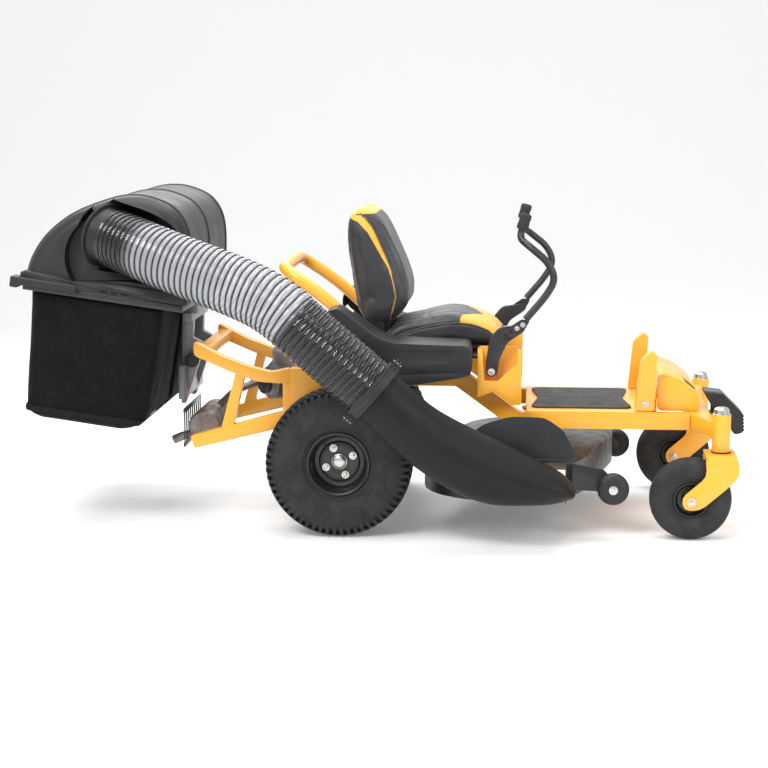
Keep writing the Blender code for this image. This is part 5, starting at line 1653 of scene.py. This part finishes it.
for name, z in (("low", 0.256), ("high", 0.380)):
    strip = box((-0.0030, 0.0030), (-0.182, 0.182), (-0.008, 0.008), 0.001)
    rail = piece(f"guard_rail_{name}", moved(strip, Matrix.Translation(at(GUARD_X, 0.0, z))), black_paint)
    fixed(rail, "black_paint", "chassis")

# ---- Mast and bag frame --------------------------------------------------------------------------
# The bagger hangs on a folded mast of grey coated plate, pinned to the rear guard and locked by a round
# knob. A black square tube frame on its head carries the bags, and a stepped lever at the side locks
# the carrier. It has no spring.
mast_grey = Finish("grey_mast_coat", (0.150, 0.154, 0.160), 0.42, Coat_Weight=0.25)
mast_grey.set("Roughness", mast_grey.stepped(mast_grey.noise(16.0, 5.0), 0.3, 0.7, 0.34, 0.54))
mast_grey.set("Normal", mast_grey.bump(mast_grey.noise(700.0, 2.0), 0.0002, 0.4))
fixed(softened("bagger_mast", mast_grey, 0.002), "grey_steel", "chassis")
fixed(softened("bag_frame", black_paint, 0.0015), "black_paint", "chassis")
knob = lathed(
    "mast_knob",
    [
        (0.0, 0.0), (0.010, 0.0), (0.010, 0.012), (0.021, 0.014), (0.0245, 0.019), (0.0245, 0.030),
        (0.021, 0.036), (0.0, 0.038),
    ],
    at(-0.560, -0.1302, 0.560),
    (0, -1, 0),
    plastic,
    35,
    steps=48,
)
fixed(knob, "black_plastic", "chassis")
pins = along(
    "mast_bolts",
    moved(bolt_head(0.0085, 0.0055), Matrix.Rotation(math.pi / 2, 4, "X")),
    plated,
    2,
    at(-0.598, -0.1303, 0.445),
    (0, 0, 0.080),
)
fixed(pins, "grey_steel", "chassis")
fixed(softened("hood_latch", plastic, 0.004), "black_plastic", "latch")

# ---- Bag binding ---------------------------------------------------------------------------------
# Woven tape is sewn over the bags' bottom seams, and a plain yellow pull tab is sewn into the left bag's
# front.
yellow_web = woven("yellow_tab_webbing", (0.62, 0.50, 0.03), 0.0018)
yellow_web.set(
    "Base Color", yellow_web.mix(yellow_web.noise(40.0, 4.0), (0.66, 0.53, 0.04), (0.50, 0.38, 0.02))
)
for side, sign in SIDES:
    inner, outer = sorted((sign * 0.018, sign * 0.446))
    rings = []
    for level in range(8):
        share = level / 7
        drop = 0.905 + 0.050 * share
        rear, front = bag_sides(drop)
        height = BAG_TOP + (BAG_BOTTOM - BAG_TOP) * drop
        swell = 0.0085 + 0.0022 * math.sin(math.pi * share)
        ring = rounded_ring(
            (rear - swell, front + swell),
            (inner - 0.004, outer + swell) if sign > 0 else (inner - swell, outer + 0.004),
            height,
            0.030,
        )
        rings.append([TILT @ point for point in ring])
    binding = piece(f"bag_binding_{side}", skin(rings), tape, 0)
    turned_in = binding.modifiers.new("tape_thickness", "SOLIDIFY")
    turned_in.thickness = 0.0020
    turned_in.offset = -1
    fixed(binding, "bag_fabric", f"grass_bag_{side}")
tab_line = [(0.088, -0.215), (0.150, -0.215), (0.119, -0.262)]
tab = piece(
    "pull_tab",
    moved(skin([[Vector((x, y, z)) for y, z in tab_line] for x in (-0.030, -0.0065)], caps=True), TILT),
    yellow_web,
    0,
)
fixed(tab, "bag_fabric", "grass_bag_left")
